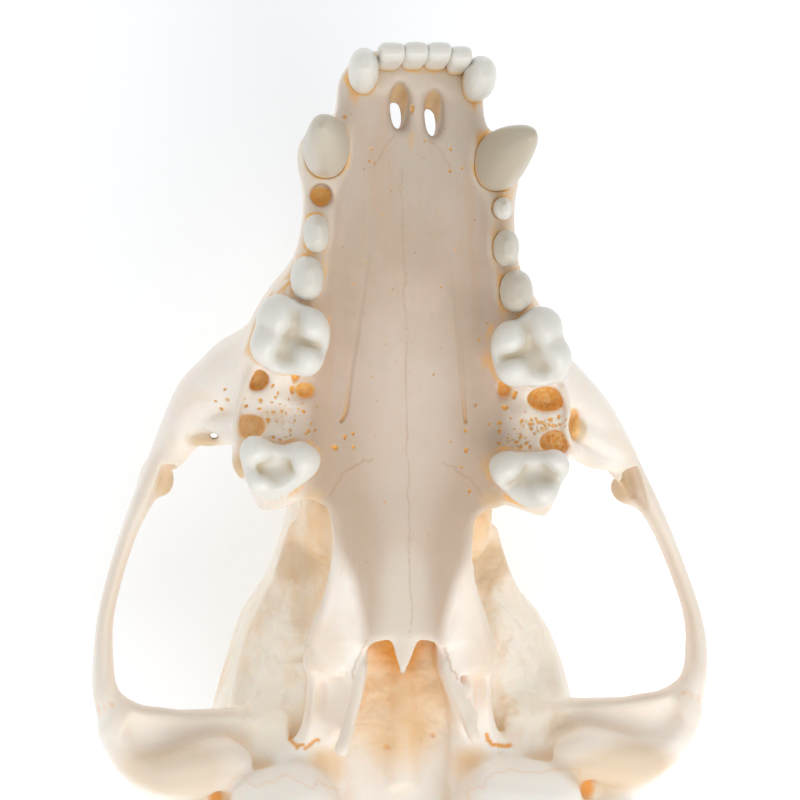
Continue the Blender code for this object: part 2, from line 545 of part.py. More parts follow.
def shape_teeth():
    """Each tooth's name with its points and faces."""
    teeth = {
        "incisor_1_right": incisor(-0.15, 2.3), "incisor_1_left": incisor(2.45, 2.3),
        "incisor_2_right": incisor(-2.9, 2.4), "incisor_2_left": incisor(4.85, 1.9, 0.5),
        "incisor_3_right": corner_incisor(-1, 5.9, 54.1), "incisor_3_left": corner_incisor(1, 7.25, 53.3),
        "canine_right": canine("right"), "canine_left": canine("left"),
        "premolar_1_left": premolar(10.2, 39.2, 2.0, 2.5, 47.4),
        "premolar_2_right": premolar(-10.7, 36.2, 2.8, 4.2, 48.4),
        "premolar_2_left": premolar(10.55, 34.8, 2.7, 4.1, 48.4),
        "premolar_3_right": premolar(-11.65, 31.2, 3.7, 4.9, 49.2),
        "premolar_3_left": premolar(11.7, 30.0, 3.6, 4.7, 49.2),
    }
    for side in ("right", "left"):
        teeth[f"premolar_4_{side}"] = cheek_tooth(*FOURTH_PREMOLARS[side], CROWN - 0.6)
        teeth[f"molar_2_{side}"] = cheek_tooth(*SECOND_MOLARS[side], CROWN - 1.8)
    return teeth


# Objects
def material(name, colour, roughness):
    made = bpy.data.materials.new(name)
    made.use_nodes = True
    surface = made.node_tree.nodes["Principled BSDF"]
    surface.inputs["Base Color"].default_value = (*colour, 1)
    surface.inputs["Roughness"].default_value = roughness
    surface.inputs["Metallic"].default_value = 0.0
    return made


def new_object(name, points, faces, look):
    mesh = bpy.data.meshes.new(name)
    mesh.from_pydata(((points - MIDDLE) * METRES).tolist(), [], faces.tolist())
    mesh.validate()
    mesh.materials.append(look)
    made = bpy.data.objects.new(name, mesh)
    bpy.context.scene.collection.objects.link(made)
    return made


def thin_out(thing, triangles):
    """Leaves about so many triangles on a mesh of four-sided faces."""
    fewer = thing.modifiers.new("Decimate", "DECIMATE")
    fewer.ratio = triangles / (2 * len(thing.data.polygons))


def hidden(thing):
    thing.hide_render = True
    thing.display_type = "WIRE"


def cut_with(thing, cutter):
    cut = thing.modifiers.new(f"cut {cutter.name}", "BOOLEAN")
    cut.operation = "DIFFERENCE"
    cut.object = cutter


def socket_cutter(tooth):
    """The tooth's own form, swollen by the gap that its socket leaves round it."""
    cutter = tooth.copy()
    cutter.name = f"{tooth.name} socket"
    bpy.context.scene.collection.objects.link(cutter)
    swell = cutter.modifiers.new("Displace", "DISPLACE")
    swell.strength = SOCKET_GAP * METRES
    swell.mid_level = 0.0
    hidden(cutter)
    return cutter


def rest_cutter():
    """Takes the dome off at the height of zero, which leaves the flat face that the skull rests on."""
    bpy.ops.mesh.primitive_cube_add(size=0.2, location=(0, 0, -0.1))
    cutter = bpy.context.object
    cutter.name = "resting plane"
    hidden(cutter)
    return cutter


def tooth_faces(name):
    """Triangles that a tooth keeps."""
    if name.startswith(("molar_2", "premolar_4")):
        return 280
    return 160 if name.startswith("canine") else 110


def main():
    for old in list(bpy.data.objects):
        bpy.data.objects.remove(old, do_unlink=True)
    bone = material("bone", (0.83, 0.76, 0.66), 0.55)
    enamel = material("tooth enamel", (0.86, 0.85, 0.80), 0.3)
    cranium = new_object("cranium", *shape_bone(), bone)
    thin_out(cranium, BONE_FACES)
    cut_with(cranium, rest_cutter())
    for name, surface in shape_teeth().items():
        tooth = new_object(name, *surface, enamel)
        thin_out(tooth, tooth_faces(name))
        cut_with(cranium, socket_cutter(tooth))


main()
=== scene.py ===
# The look of a raccoon cranium with its upper teeth, lying on its dome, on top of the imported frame.
import math

import bmesh
import bpy
import numpy as np
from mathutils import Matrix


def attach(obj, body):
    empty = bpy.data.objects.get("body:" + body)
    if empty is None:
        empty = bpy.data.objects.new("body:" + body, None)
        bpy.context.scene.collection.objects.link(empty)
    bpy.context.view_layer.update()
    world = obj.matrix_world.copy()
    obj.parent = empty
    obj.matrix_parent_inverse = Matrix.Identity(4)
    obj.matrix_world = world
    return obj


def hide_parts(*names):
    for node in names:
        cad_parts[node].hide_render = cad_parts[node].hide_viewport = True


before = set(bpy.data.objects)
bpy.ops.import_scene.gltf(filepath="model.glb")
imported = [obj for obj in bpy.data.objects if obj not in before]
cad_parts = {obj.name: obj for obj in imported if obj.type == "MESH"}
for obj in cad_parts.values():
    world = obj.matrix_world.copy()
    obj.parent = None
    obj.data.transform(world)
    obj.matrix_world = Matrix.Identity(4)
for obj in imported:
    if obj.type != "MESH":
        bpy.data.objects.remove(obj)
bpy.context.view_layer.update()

import openvdb
from mathutils import Matrix, Vector
from mathutils.kdtree import KDTree

# The cranium. The real one is one shell of thin grown-together bones, cleaned, degreased and whitened.
# Dense bone is smooth and ivory, the bone round the lost molars is a sponge of thin struts, and light
# comes through it warm in every hollow. Nothing holds it: it lies on the dome of its braincase.
PALATE = 44.0            # millimetres over the surface that the skull lies on, as are all heights
GUM = 44.8
BASE = 36.0
ARCH = 29.0
CROWN = 50.0
BREADTH = 36.0
BRAINCASE = 23.4
REST_DEPTH = 0.5
BONE_STEP = 0.27         # cells of the blocks that the bone and the teeth are formed in
TOOTH_STEP = 0.13
BONE_TRIANGLES = 66000   # after thinning and before the fine places are refined
TOOTH_TRIANGLES = 16000
RINGS = 4                # made from each station of a form to the next
MIDDLE = np.array((0.91, 0.32, 0))
METRES = 0.001


def solid(mesh):
    """Points and triangles of a closed bmesh."""
    bmesh.ops.triangulate(mesh, faces=mesh.faces)
    mesh.verts.index_update()
    points = np.array([v.co for v in mesh.verts], np.float32)
    triangles = np.array([[v.index for v in f.verts] for f in mesh.faces], np.uint32)
    mesh.free()
    return points, triangles


def skin(rings):
    """Closed form through a row of rings that have equally many points."""
    mesh = bmesh.new()
    loops = [[mesh.verts.new(p) for p in ring] for ring in rings]
    around = len(loops[0])
    for one, two in zip(loops, loops[1:]):
        for i in range(around):
            j = (i + 1) % around
            mesh.faces.new((one[i], one[j], two[j], two[i]))
    mesh.faces.new(loops[0][::-1])
    mesh.faces.new(loops[-1])
    return solid(mesh)


def curve(rows, parts, closed=False):
    """Smooth run through rows of numbers, with so many steps from each row to the next."""
    rows = np.array(rows, float)
    if closed:
        ends = np.vstack([rows[-1:], rows, rows[:2]])
    else:
        ends = np.vstack([2 * rows[:1] - rows[1:2], rows, 2 * rows[-1:] - rows[-2:-1]])
    made = []
    for a, b, c, d in zip(ends, ends[1:], ends[2:], ends[3:]):
        square = a - 2.5 * b + 2 * c - d / 2
        cube = 1.5 * (b - c) + (d - a) / 2
        for t in np.arange(parts) / parts:
            made.append(b + t * (c - a) / 2 + t ** 2 * square + t ** 3 * cube)
    if not closed:
        made.append(rows[-1])
    return np.array(made)


def squared(angle, power):
    """Cosine and sine of an angle, drawn towards a square's sides by the power."""
    c, s = math.cos(angle), math.sin(angle)
    return math.copysign(abs(c) ** (2 / power), c), math.copysign(abs(s) ** (2 / power), s)


def trunk(stations, power=2.4, around=28):
    """Form along Y. A station is y, lowest z, highest z, half width there and half width here."""
    rings = []
    for y, low, high, low_half, high_half in curve(stations, RINGS):
        ring = []
        for k in range(around):
            c, s = squared(2 * math.pi * k / around, power)
            half = low_half + (high_half - low_half) * (s + 1) / 2
            ring.append((half * c, y, (low + high) / 2 + (high - low) / 2 * s))
        rings.append(ring)
    return skin(rings)


def slab(stations, power=4.0, around=24):
    """Form along Y. A station is y, inner x, outer x, lowest z and highest z."""
    rings = []
    for y, inner, outer, low, high in curve(stations, RINGS):
        ring = []
        for k in range(around):
            c, s = squared(2 * math.pi * k / around, power)
            x = (inner + outer) / 2 + (outer - inner) / 2 * c
            ring.append((x, y, (low + high) / 2 + (high - low) / 2 * s))
        rings.append(ring)
    return skin(rings)


def bar(stations, up=(0, 0, 1), power=2.2, around=14):
    """Form along a bent line. A station is x, y, z, width across and height towards up."""
    rows = curve(stations, RINGS)
    path = rows[:, :3]
    ahead = np.gradient(path, axis=0)
    rings = []
    for place, way, width, height in zip(path, ahead, rows[:, 3], rows[:, 4]):
        side = np.cross(way, up)
        side = side / np.linalg.norm(side)
        rise = np.cross(side, way)
        rise = rise / np.linalg.norm(rise)
        ring = []
        for k in range(around):
            c, s = squared(2 * math.pi * k / around, power)
            ring.append(place + side * width / 2 * c + rise * height / 2 * s)
        rings.append(ring)
    return skin(rings)


def ball(centre, radii):
    """Egg-shaped form with its radii along X, Y and Z."""
    mesh = bmesh.new()
    bmesh.ops.create_icosphere(mesh, subdivisions=3, radius=1.0)
    bmesh.ops.scale(mesh, vec=radii, verts=mesh.verts)
    bmesh.ops.translate(mesh, vec=centre, verts=mesh.verts)
    return solid(mesh)


def mirrored(form):
    """The same form on the other side of the skull."""
    points, triangles = form
    return points * np.array([-1, 1, 1], np.float32), triangles[:, ::-1].copy()


class Clay:
    """A block of space that holds the distance to a surface, on which forms are blended."""

    def __init__(self, low, high, step):
        self.low = np.array(low, float)
        self.step = step
        self.size = np.ceil((np.array(high) - self.low) / step).astype(int)
        self.far = 6.0
        self.beyond = 1.2
        self.values = np.full(self.size, self.far, np.float32)

    def measure(self, form, reach):
        """Where a form's neighbourhood lies in the block, and the distances to the form there."""
        points, triangles = form
        points = (points - self.low) / self.step
        margin = (reach + self.beyond) / self.step
        first = np.clip(np.floor(points.min(0) - margin).astype(int), 0, self.size)
        last = np.clip(np.ceil(points.max(0) + margin).astype(int) + 1, 0, self.size)
        grid = openvdb.FloatGrid.createLevelSetFromPolygons(
            points.astype(np.float32), triangles=triangles, halfWidth=float(margin))
        distances = np.zeros(last - first, np.float32)
        grid.copyToArray(distances, ijk=tuple(int(i) for i in first))
        return tuple(slice(a, b) for a, b in zip(first, last)), distances * self.step

    def add(self, form, blend=1.0):
        place, new = self.measure(form, blend)
        old = self.values[place]
        share = np.maximum(blend - np.abs(old - new), 0) / blend
        self.values[place] = np.minimum(old, new) - share * share * blend / 4

    def cut(self, form, blend=0.5, grow=0.0):
        """Takes a form away, swollen by grow."""
        place, new = self.measure(form, blend + grow)
        new = new - grow
        old = self.values[place]
        share = np.maximum(blend - np.abs(old + new), 0) / blend
        self.values[place] = np.maximum(old, -new) + share * share * blend / 4

    def soften(self, rounds):
        """Rounds off what is sharper than the grid."""
        for _ in range(rounds):
            for axis in range(3):
                v = np.moveaxis(self.values, axis, 0)
                v[1:-1] = (v[:-2] + 2 * v[1:-1] + v[2:]) / 4

    def surface(self):
        """Points and four-sided faces of the largest body in the block."""
        grid = openvdb.FloatGrid(self.far)
        grid.copyFromArray(self.values)
        points, quads = grid.convertToQuads(isovalue=0.0)
        quads = quads[largest_body(len(points), quads)]
        used, places = np.unique(quads, return_inverse=True)
        return points[used] * self.step + self.low, places.reshape(-1, 4)


def largest_body(count, quads):
    """Which faces belong to the body that has the most of them."""
    label = np.arange(count)
    while True:
        lowest = label[quads].min(1)
        before = label.copy()
        for corner in range(4):
            np.minimum.at(label, quads[:, corner], lowest)
        label = label[label]
        if np.array_equal(label, before):
            break
    face_label = label[quads[:, 0]]
    names, sizes = np.unique(face_label, return_counts=True)
    return face_label == names[sizes.argmax()]


def both(clay, form, blend, action="add"):
    """Adds or cuts a form and its mirror image."""
    getattr(clay, action)(form, blend)
    getattr(clay, action)(mirrored(form), blend)


def add_braincase(clay):
    clay.add(trunk([
        (4, 3.0, 31, 11.5, 9.5), (-4, 0.6, 33.5, 14.6, 12.5), (-9.5, -0.3, 34.6, 18.8, 16.5),
        (-15, -REST_DEPTH, 35.2, 21.0, 19.0), (-21, -0.2, 35.6, 22.6, 20.6),
        (-28, 0.9, BASE, BRAINCASE, 22.2), (-35, 3.0, BASE, BRAINCASE - 0.2, 22.6),
        (-42, 6.2, 35.8, 21.6, 22.0), (-48, 10.0, 35.2, 18.6, 20.0), (-52.5, 14.0, 34.4, 14.6, 16.5),
        (-54.6, 18.0, 33.2, 10.0, 12.0)], 2.2), 1.0)


def add_face(clay):
    clay.add(trunk([
        (55.6, 37.5, PALATE, 4.2, 5.0), (54.2, 33.0, PALATE, 5.2, 6.6), (51, 27.6, PALATE, 5.8, 7.4),
        (48, 23.4, PALATE, 6.2, 8.2), (44.5, 20.4, 43.6, 7.2, 10.6), (40, 17.8, 43.4, 7.6, 10.6),
        (35, 15.0, 43.2, 8.4, 11.0), (30, 12.2, 43.0, 9.6, 12.4), (25, 9.4, 42.6, 11.6, 13.4),
        (20, 6.8, 42.0, 12.6, 12.0), (14, 4.6, 41.4, 12.6, 9.6), (8, 3.0, 41.0, 13.4, 8.2),
        (2, 1.6, 40.4, 13.6, 7.6), (-4, 1.0, 38.5, 14.8, 8.6), (-9, 2.6, 36.4, 15.6, 10.0),
        (-13, 6.0, 34.0, 13.0, 9.0)], 2.6), 2.5)


def add_tooth_ridges(clay):
    ridge = bar([
        (-1.0, 54.6, 40.6, 4.6, 7.0), (3.0, 54.2, 40.6, 4.6, 7.2), (5.6, 52.6, 40.6, 4.8, 7.6),
        (6.4, 50.0, 40.6, 3.8, 7.8), (7.0, 47.6, 40.8, 4.0, 7.8), (9.0, 44.4, 40.8, 6.0, 8.2),
        (9.7, 40.2, 40.6, 4.5, 8.2), (9.8, 36.4, 40.6, 4.5, 8.2), (10.6, 31.8, 40.4, 5.0, 8.4),
        (12.4, 27.0, 40.2, 7.4, 8.8), (13.9, 22.0, 40.2, 8.4, 9.0), (14.4, 16.0, 39.6, 9.0, 8.4),
        (14.0, 10.0, 39.8, 8.8, 8.4), (12.7, 5.6, 39.6, 7.6, 7.2)], power=2.8)
    both(clay, ridge, 1.6)
    both(clay, bar([
        (9.3, 44.4, 41.0, 5.6, 6.8), (9.0, 42.0, 35.0, 4.8, 5.4), (7.8, 38.4, 29.0, 3.6, 4.0),
        (6.6, 35.4, 25.0, 2.0, 2.4)], up=(0, 1, 0)), 2.0)


def add_palate(clay):
    clay.add(trunk([
        (54, 40.8, 44.0, 5.5, 5.5), (50, 40.8, 44.0, 7.2, 7.2), (45, 40.8, 43.6, 9.0, 9.0),
        (35, 40.8, 43.2, 9.8, 9.8), (25, 40.6, 43.0, 11.0, 11.0), (14, 40.4, 43.0, 12.0, 12.0),
        (7, 40.2, 43.1, 11.6, 11.6), (3, 40.0, 43.0, 8.6, 8.6), (-2, 39.8, 42.9, 7.6, 7.6),
        (-6, 39.8, 42.8, 7.8, 7.8), (-10.4, 40.0, 42.8, 8.6, 8.6)], 6.0, 36), 0.8)
    clay.add(bar([
        (0.2, -8.0, 41.4, 4.2, 2.0), (0.0, -12.0, 41.6, 1.9, 1.7), (-0.2, -14.6, 41.8, 0.7, 0.9)]), 1.0)


# The hooks behind the palate, right and left: x, y, z, width and height along each
HOOKS = (
    ((-4.6, -12.0, 40.4, 1.6, 3.4), (-5.0, -14.5, 40.2, 1.9, 4.4), (-5.3, -16.5, 40.3, 1.7, 4.8),
     (-5.9, -18.9, 40.6, 1.6, 4.8), (-6.3, -20.8, 41.6, 1.8, 3.8), (-6.8, -21.9, 42.4, 2.1, 2.6),
     (-7.0, -22.7, 42.7, 1.0, 1.4)),
    ((4.8, -12.0, 40.4, 1.6, 3.4), (5.4, -14.4, 40.2, 1.8, 4.4), (6.4, -16.6, 40.3, 1.9, 4.8),
     (7.4, -18.8, 40.6, 1.7, 4.8), (7.9, -20.2, 41.6, 1.6, 3.8), (8.2, -21.2, 42.2, 1.3, 2.4),
     (8.3, -21.7, 42.4, 0.7, 1.2)),
)


def add_pterygoids(clay):
    """Palatine plates that end in outer wings, lower sheets behind them, hooks and two thin ridges."""
    both(clay, slab([
        (5, 5.0, 8.2, 34, 42.6), (0, 4.9, 7.8, 33, 42.4), (-4, 4.6, 8.1, 32.5, 42.3),
        (-7.5, 4.1, 8.8, 32.5, 42.2), (-10.2, 3.8, 10.2, 32.5, 42.0), (-12.4, 4.0, 11.1, 32.5, 41.6),
        (-13.7, 4.2, 10.4, 32.5, 41.4), (-14.2, 4.4, 9.4, 32.5, 41.4)]), 1.0)
    both(clay, slab([
        (-11.0, 4.4, 9.6, 33, 39.8), (-15.0, 4.8, 8.6, 33, 40.2), (-17.2, 5.6, 8.4, 33, 39.8),
        (-19.6, 6.2, 8.9, 33, 38.8), (-21.6, 7.0, 9.7, 33, 37.6), (-23.4, 7.8, 11.0, 33, 36.6)]), 0.8)
    both(clay, bar([
        (9.8, -12.6, 38.0, 1.3, 4.6), (9.9, -16.5, 37.0, 1.1, 4.6), (10.2, -19.5, 36.0, 1.2, 4.0),
        (10.9, -22.2, 35.2, 1.7, 3.4), (13.2, -24.4, 34.4, 2.2, 3.0)]), 0.8)
    for hook in HOOKS:
        clay.add(bar(hook), 0.6)


def add_cheek_arches(clay):
    both(clay, bar([
        (14.5, 20.4, 37.8, 9.0, 9.0), (18.6, 18.6, 37.0, 8.0, 9.6), (22.0, 16.2, 36.0, 6.4, 9.4),
        (24.5, 12.8, 35.0, 5.0, 9.2), (26.6, 9.5, 33.8, 3.6, 9.0), (28.7, 6.0, 32.4, 2.6, 8.6),
        (30.5, 2.5, 31.0, 2.0, 8.0), (31.9, -1.0, 30.0, 1.8, 7.4), (33.1, -4.5, 29.3, 1.8, 7.0),
        (34.2, -8.5, ARCH, 1.9, 6.6), (BREADTH - 1.4, -12.8, ARCH, 2.4, 6.2),
        (BREADTH - 1.7, -16.5, 29.4, 3.0, 5.8), (32.6, -20.2, 30.0, 4.4, 5.4),
        (29.6, -23.6, 30.4, 6.0, 5.2), (26.0, -27.0, 30.6, 7.0, 5.4), (21.6, -30.8, 31.0, 9.0, 7.0)]), 1.8)
    both(clay, bar([
        (27.9, 7.1, 31.4, 3.2, 4.2), (27.2, 6.9, 28.8, 3.2, 4.0), (26.8, 6.8, 26.6, 2.6, 3.2),
        (26.5, 6.8, 25.0, 1.4, 1.8)], up=(0, 1, 0)), 1.0)
    both(clay, bar([
        (16.6, 20.3, 36.5, 7.0, 5.6), (14.0, 21.8, 27.0, 6.4, 6.4), (11.6, 22.2, 18.0, 6.0, 7.4),
        (8.6, 20.6, 11.0, 5.0, 7.0)], up=(0, 1, 0)), 3.0)


def add_jaw_joints(clay):
    """A trough across each side for the lower jaw's hinge, with a tall wall behind it."""
    both(clay, bar([
        (13.0, -24.8, 30.6, 14.4, 8.4), (20.0, -24.4, 30.8, 12.2, 7.0), (26.0, -23.6, 31.0, 10.8, 6.2),
        (30.2, -21.6, 31.0, 8.4, 5.6), (33.4, -19.2, 30.6, 4.4, 4.6)], power=2.8), 2.0)
    both(clay, bar([
        (16.6, -21.0, 38.0, 5.0, 6.6), (19.6, -21.3, 36.7, 6.8, 8.6), (24.0, -21.7, 36.3, 7.2, 9.0),
        (28.5, -21.4, 36.0, 7.0, 8.6), (32.2, -19.8, 35.8, 5.6, 7.6)]), 0.6, "cut")
    both(clay, bar([
        (33.2, -21.6, 31.2, 2.6, 3.8), (31.0, -24.6, 31.2, 3.4, 5.0), (27.0, -25.8, 32.2, 5.2, 7.0),
        (23.4, -25.0, 33.4, 6.0, 8.8), (20.6, -24.5, 33.8, 6.2, 9.6), (18.6, -24.9, 33.2, 4.4, 8.0)],
        power=2.8), 0.9)


def add_ear_bones(clay):
    both(clay, bar([
        (14.0, -25.2, 38.6, 8.6, 5.0), (13.8, -26.6, 38.2, 12.0, 9.6), (13.4, -30.0, 37.6, 14.4, 13.8),
        (13.0, -35.0, 37.4, 16.0, 16.0), (12.8, -40.4, 37.0, 13.4, 13.4), (12.6, -44.6, 36.6, 6.0, 6.4)],
        power=2.6, around=24), 0.6)
    both(clay, bar([
        (15.0, -33.5, 36.0, 9.0, 9.0), (21.0, -33.6, 34.6, 7.0, 7.4), (26.2, -34.0, 33.4, 6.4, 6.6)]), 2.0)
    both(clay, bar([
        (22.0, -34.0, 34.4, 3.0, 3.4), (25.0, -34.2, 33.6, 3.8, 4.2),
        (28.6, -34.4, 32.8, 4.2, 4.6)]), 0.5, "cut")
    both(clay, bar([
        (22.4, -41.0, 30.0, 6.0, 7.0), (23.6, -42.0, 35.0, 4.4, 5.4), (24.0, -42.6, 39.0, 2.2, 2.8)],
        up=(0, 1, 0)), 2.5)
    both(clay, bar([
        (16.4, -46.6, 33.0, 7.0, 5.0), (17.6, -48.0, 38.0, 4.6, 3.6), (18.2, -48.6, 43.0, 2.2, 1.8)],
        up=(0, 1, 0)), 2.0)


def add_back_of_skull(clay):
    both(clay, ball((7.0, -53.2, 32.4), (4.2, 3.6, 5.2)), 1.5)
    both(clay, bar([
        (23.0, -41.0, 31.0, 3.0, 5.0), (22.6, -45.4, 24.0, 2.2, 4.0), (18.8, -50.2, 16.8, 2.0, 4.2),
        (10.4, -53.2, 12.6, 2.0, 4.2), (-1.0, -54.2, 11.4, 2.2, 4.2)], up=(0, 1, 0)), 2.4)
    clay.add(bar([
        (0, -20, 1.6, 2.0, 1.0), (0, -32, 2.6, 1.8, 2.0), (0, -44, 7.2, 1.8, 2.8),
        (0, -53.0, 12.0, 2.0, 3.4)]), 2.0)
    clay.cut(ball((0, -57.0, 28.0), (7.0, 11.0, 6.0)), 1.0)


def add_brow_points(clay):
    both(clay, bar([
        (8.6, 11.0, 7.4, 10.0, 5.6), (12.4, 8.8, 7.4, 6.6, 4.4), (15.4, 6.8, 8.4, 2.6, 2.2)]), 3.0)


def shape_temples(clay):
    """Behind the orbit each side wall is hollow, and a low crest runs back along its outside."""
    both(clay, ball((10.6, -3.0, 33.0), (2.2, 8.0, 6.4)), 1.6, "cut")
    both(clay, bar([
        (11.2, 1.5, 25.6, 2.0, 2.0), (13.2, -5.0, 24.6, 2.2, 2.2), (15.6, -9.6, 24.6, 2.2, 2.2),
        (17.4, -14.0, 24.8, 2.2, 2.2), (18.6, -19.0, 25.4, 2.0, 2.0)]), 1.8)


# The two slits through the front of the palate: x and y of the opening's middle and of the depth's
PALATE_SLITS = ((-1.4, 50.4, -1.8, 49.2), (2.5, 49.8, 2.2, 48.6))


def cut_nose(clay):
    clay.cut(trunk([
        (62, 8.0, 36.6, 5.6, 5.2), (56, 11.0, 37.4, 5.4, 5.2), (52.4, 15.0, 39.0, 5.2, 5.8),
        (49.4, 19.0, 40.6, 5.0, 6.2), (46.6, 23.2, 41.0, 4.8, 6.6), (42, 22.0, 41.0, 4.8, 6.8),
        (36, 22.0, 40.4, 4.4, 6.6), (31, 24.0, 38.0, 3.0, 4.4)], 2.6), 0.8)
    clay.add(bar([
        (0, 51.0, 41.0, 1.4, 2.0), (0, 46.0, 39.6, 1.2, 4.0), (0, 42.0, 36.0, 1.0, 11.0),
        (0, 37.0, 32.0, 1.0, 20.0), (0, 30.0, 31.0, 1.2, 18.0)]), 0.6)
    for x, y, deep_x, deep_y in PALATE_SLITS:
        clay.cut(bar([
            (x, y, 46.0, 2.1, 5.5), (x, y, 43.6, 2.1, 5.5), (x, y - 0.3, 42.4, 1.9, 5.0),
            (deep_x, deep_y, 40.8, 1.4, 3.5), (deep_x, deep_y, 36.0, 1.4, 3.5)], up=(0, 1, 0)), 0.2)


def cut_throat(clay):
    clay.cut(trunk([
        (5, 36.4, 40.2, 3.0, 3.0), (0, 35.4, 41.2, 4.2, 4.2), (-6, 35.0, 41.4, 4.3, 4.2),
        (-11, 34.9, 41.4, 3.9, 3.7)], 3.4), 0.5)
    clay.cut(slab([
        (-9.9, -3.6, 3.5, 34.9, 52), (-12.0, -3.8, 4.0, 34.9, 52), (-14.7, -4.1, 4.6, 35.1, 52),
        (-16.6, -4.6, 5.5, 35.3, 52), (-18.8, -5.2, 6.5, 35.6, 52), (-22, -6.0, 7.4, 35.9, 52),
        (-26, -6.4, 7.0, BASE, 52)], 4.0, 28), 0.4)
    clay.add(bar([
        (0.2, -6.0, 41.2, 4.4, 2.0), (0.1, -10.4, 41.6, 2.9, 1.8), (0.0, -12.4, 41.9, 1.9, 1.5),
        (-0.2, -14.9, 42.2, 1.0, 1.2)]), 0.5)
    both(clay, ball((8.9, -15.8, 41.4), (0.75, 1.35, 3.2)), 0.3, "cut")


def cut_orbits(clay):
    both(clay, ball((16.4, 27.6, 32.6), (1.5, 7.0, 2.2)), 0.6, "cut")
    both(clay, bar([
        (21.4, -28.2, 37.0, 1.4, 2.8), (21.4, -28.3, 32.0, 1.1, 2.2)], up=(0, 1, 0)), 0.3, "cut")


# Roots of the lost first molars by side: x, y and half widths
EMPTY_MOLAR_SOCKETS = {
    -1: ((17.0, 19.7, 1.45, 1.3), (17.6, 14.4, 1.7, 1.4), (11.6, 18.5, 1.0, 0.8)),
    1: ((15.7, 17.8, 2.3, 1.45), (16.7, 12.9, 1.8, 1.4), (11.0, 18.6, 0.8, 0.9)),
}


def leaning(points):
    """The skull's slight natural skew: its right side stands forward and both arches lean to the right."""
    x, y = points[:, 0], points[:, 1]
    outside = np.clip((np.abs(x) - 12) / 8, 0, 1)
    moved = points.copy()
    moved[:, 0] -= outside * np.interp(y, (-12, 4, 18), (-0.9, 0.0, 0.75))
    moved[:, 1] -= x * np.interp(y, (-18, 0, 18), (-0.03, 0.0, 0.045))
    return moved


def straightened(form):
    """A form measured on the leaning skull, as it was before the skull leaned."""
    points, triangles = form
    return (2 * points - leaning(points)).astype(np.float32), triangles


def cut_empty_sockets(clay):
    """Sockets whose teeth are lost: a first premolar and both first molars."""
    clay.cut(straightened(ball((-10.0, 40.4, 44.2), (1.2, 1.4, 4.6))), 0.2)
    for side, roots in EMPTY_MOLAR_SOCKETS.items():
        for x, y, wide, long in roots:
            clay.cut(straightened(ball((side * x, y, 44.0), (wide, long, 4.6))), 0.3)


def tooth_clay(adds, cuts):
    points = np.vstack([form[0] for form in adds])
    clay = Clay(points.min(0) - 1.5, points.max(0) + 1.5, TOOTH_STEP)
    for form in adds:
        clay.add(form, 0.9)
    for form in cuts:
        clay.cut(form, 1.8)
    clay.soften(3)
    return clay


def incisor(x, wide, back=0.0):
    y = 56.4 - back
    return [bar([
        (x * 0.94, y - 2.0, 40.2, wide * 0.4, 1.3), (x * 0.96, y - 1.4, 42.2, wide * 0.66, 1.8),
        (x, y - 0.7, GUM, wide * 0.9, 1.9), (x, y - 0.3, 47.0, wide, 2.0), (x, y - 0.1, 49.0, wide, 1.9),
        (x, y, 50.2, wide * 0.98, 1.5), (x, y, 50.8, wide * 0.88, 0.6)], up=(0, 1, 0), power=4.5)], []


def corner_incisor(side, x, y):
    return [bar([
        (side * (x - 1.2), y - 1.9, 39.8, 1.3, 1.6), (side * (x - 0.8), y - 1.3, 42.0, 2.0, 2.8),
        (side * (x - 0.1), y - 0.3, GUM, 2.6, 3.7), (side * x, y + 0.1, 47.0, 2.9, 4.3),
        (side * (x + 0.1), y + 0.5, 49.2, 2.8, 4.0), (side * (x + 0.2), y + 0.8, 50.8, 2.2, 2.6),
        (side * (x + 0.2), y + 0.9, 51.6, 1.2, 1.4)], up=(0, 1, 0))], []


# Each canine from its root to its tip: x, y, z, width and length
CANINES = {
    "right": ((-8.9, 42.6, 35.0, 2.4, 3.0), (-9.3, 44.2, 40.0, 3.8, 5.0), (-9.65, 45.4, 44.6, 4.8, 6.0),
              (-9.75, 45.9, 47.6, 4.9, 5.9), (-10.1, 46.8, 51.2, 4.1, 4.9), (-10.6, 47.8, 54.2, 2.7, 3.2),
              (-10.8, 48.1, 55.6, 1.3, 1.5), (-10.85, 48.2, 56.0, 0.6, 0.7)),
    "left": ((8.9, 42.2, 35.0, 2.4, 3.0), (9.2, 43.4, 40.0, 3.8, 5.2), (9.5, 44.3, 44.6, 4.7, 6.3),
             (9.7, 44.7, 47.6, 4.9, 6.4), (10.4, 45.8, 51.2, 4.4, 5.2), (11.4, 46.9, 54.6, 2.9, 3.2),
             (11.9, 47.4, 56.3, 1.4, 1.5), (12.0, 47.5, 56.7, 0.6, 0.6)),
}


def canine(side):
    return [bar(CANINES[side], up=(0, 1, 0), around=32)], []


def premolar(x, y, wide, long, top):
    inward = -0.6 if x > 0 else 0.6
    return [bar([
        (x + inward, y, 39.0, wide * 0.3, long * 0.4), (x + inward, y, 42.0, wide * 0.5, long * 0.66),
        (x + inward * 0.4, y, GUM, wide * 0.78, long * 0.86), (x, y, 46.2, wide, long),
        (x, y, top - 1.2, wide * 0.78, long * 0.82), (x, y, top, wide * 0.26, long * 0.46)],
        up=(0, 1, 0))], []


def column(outline, levels):
    """Form along Z over a smooth outline. A level is a height and the outline's share there."""
    ring = curve(outline, 4, closed=True)
    middle = ring.mean(0)
    return skin([[(*(middle + (p - middle) * share), z) for p in ring] for z, share in levels])


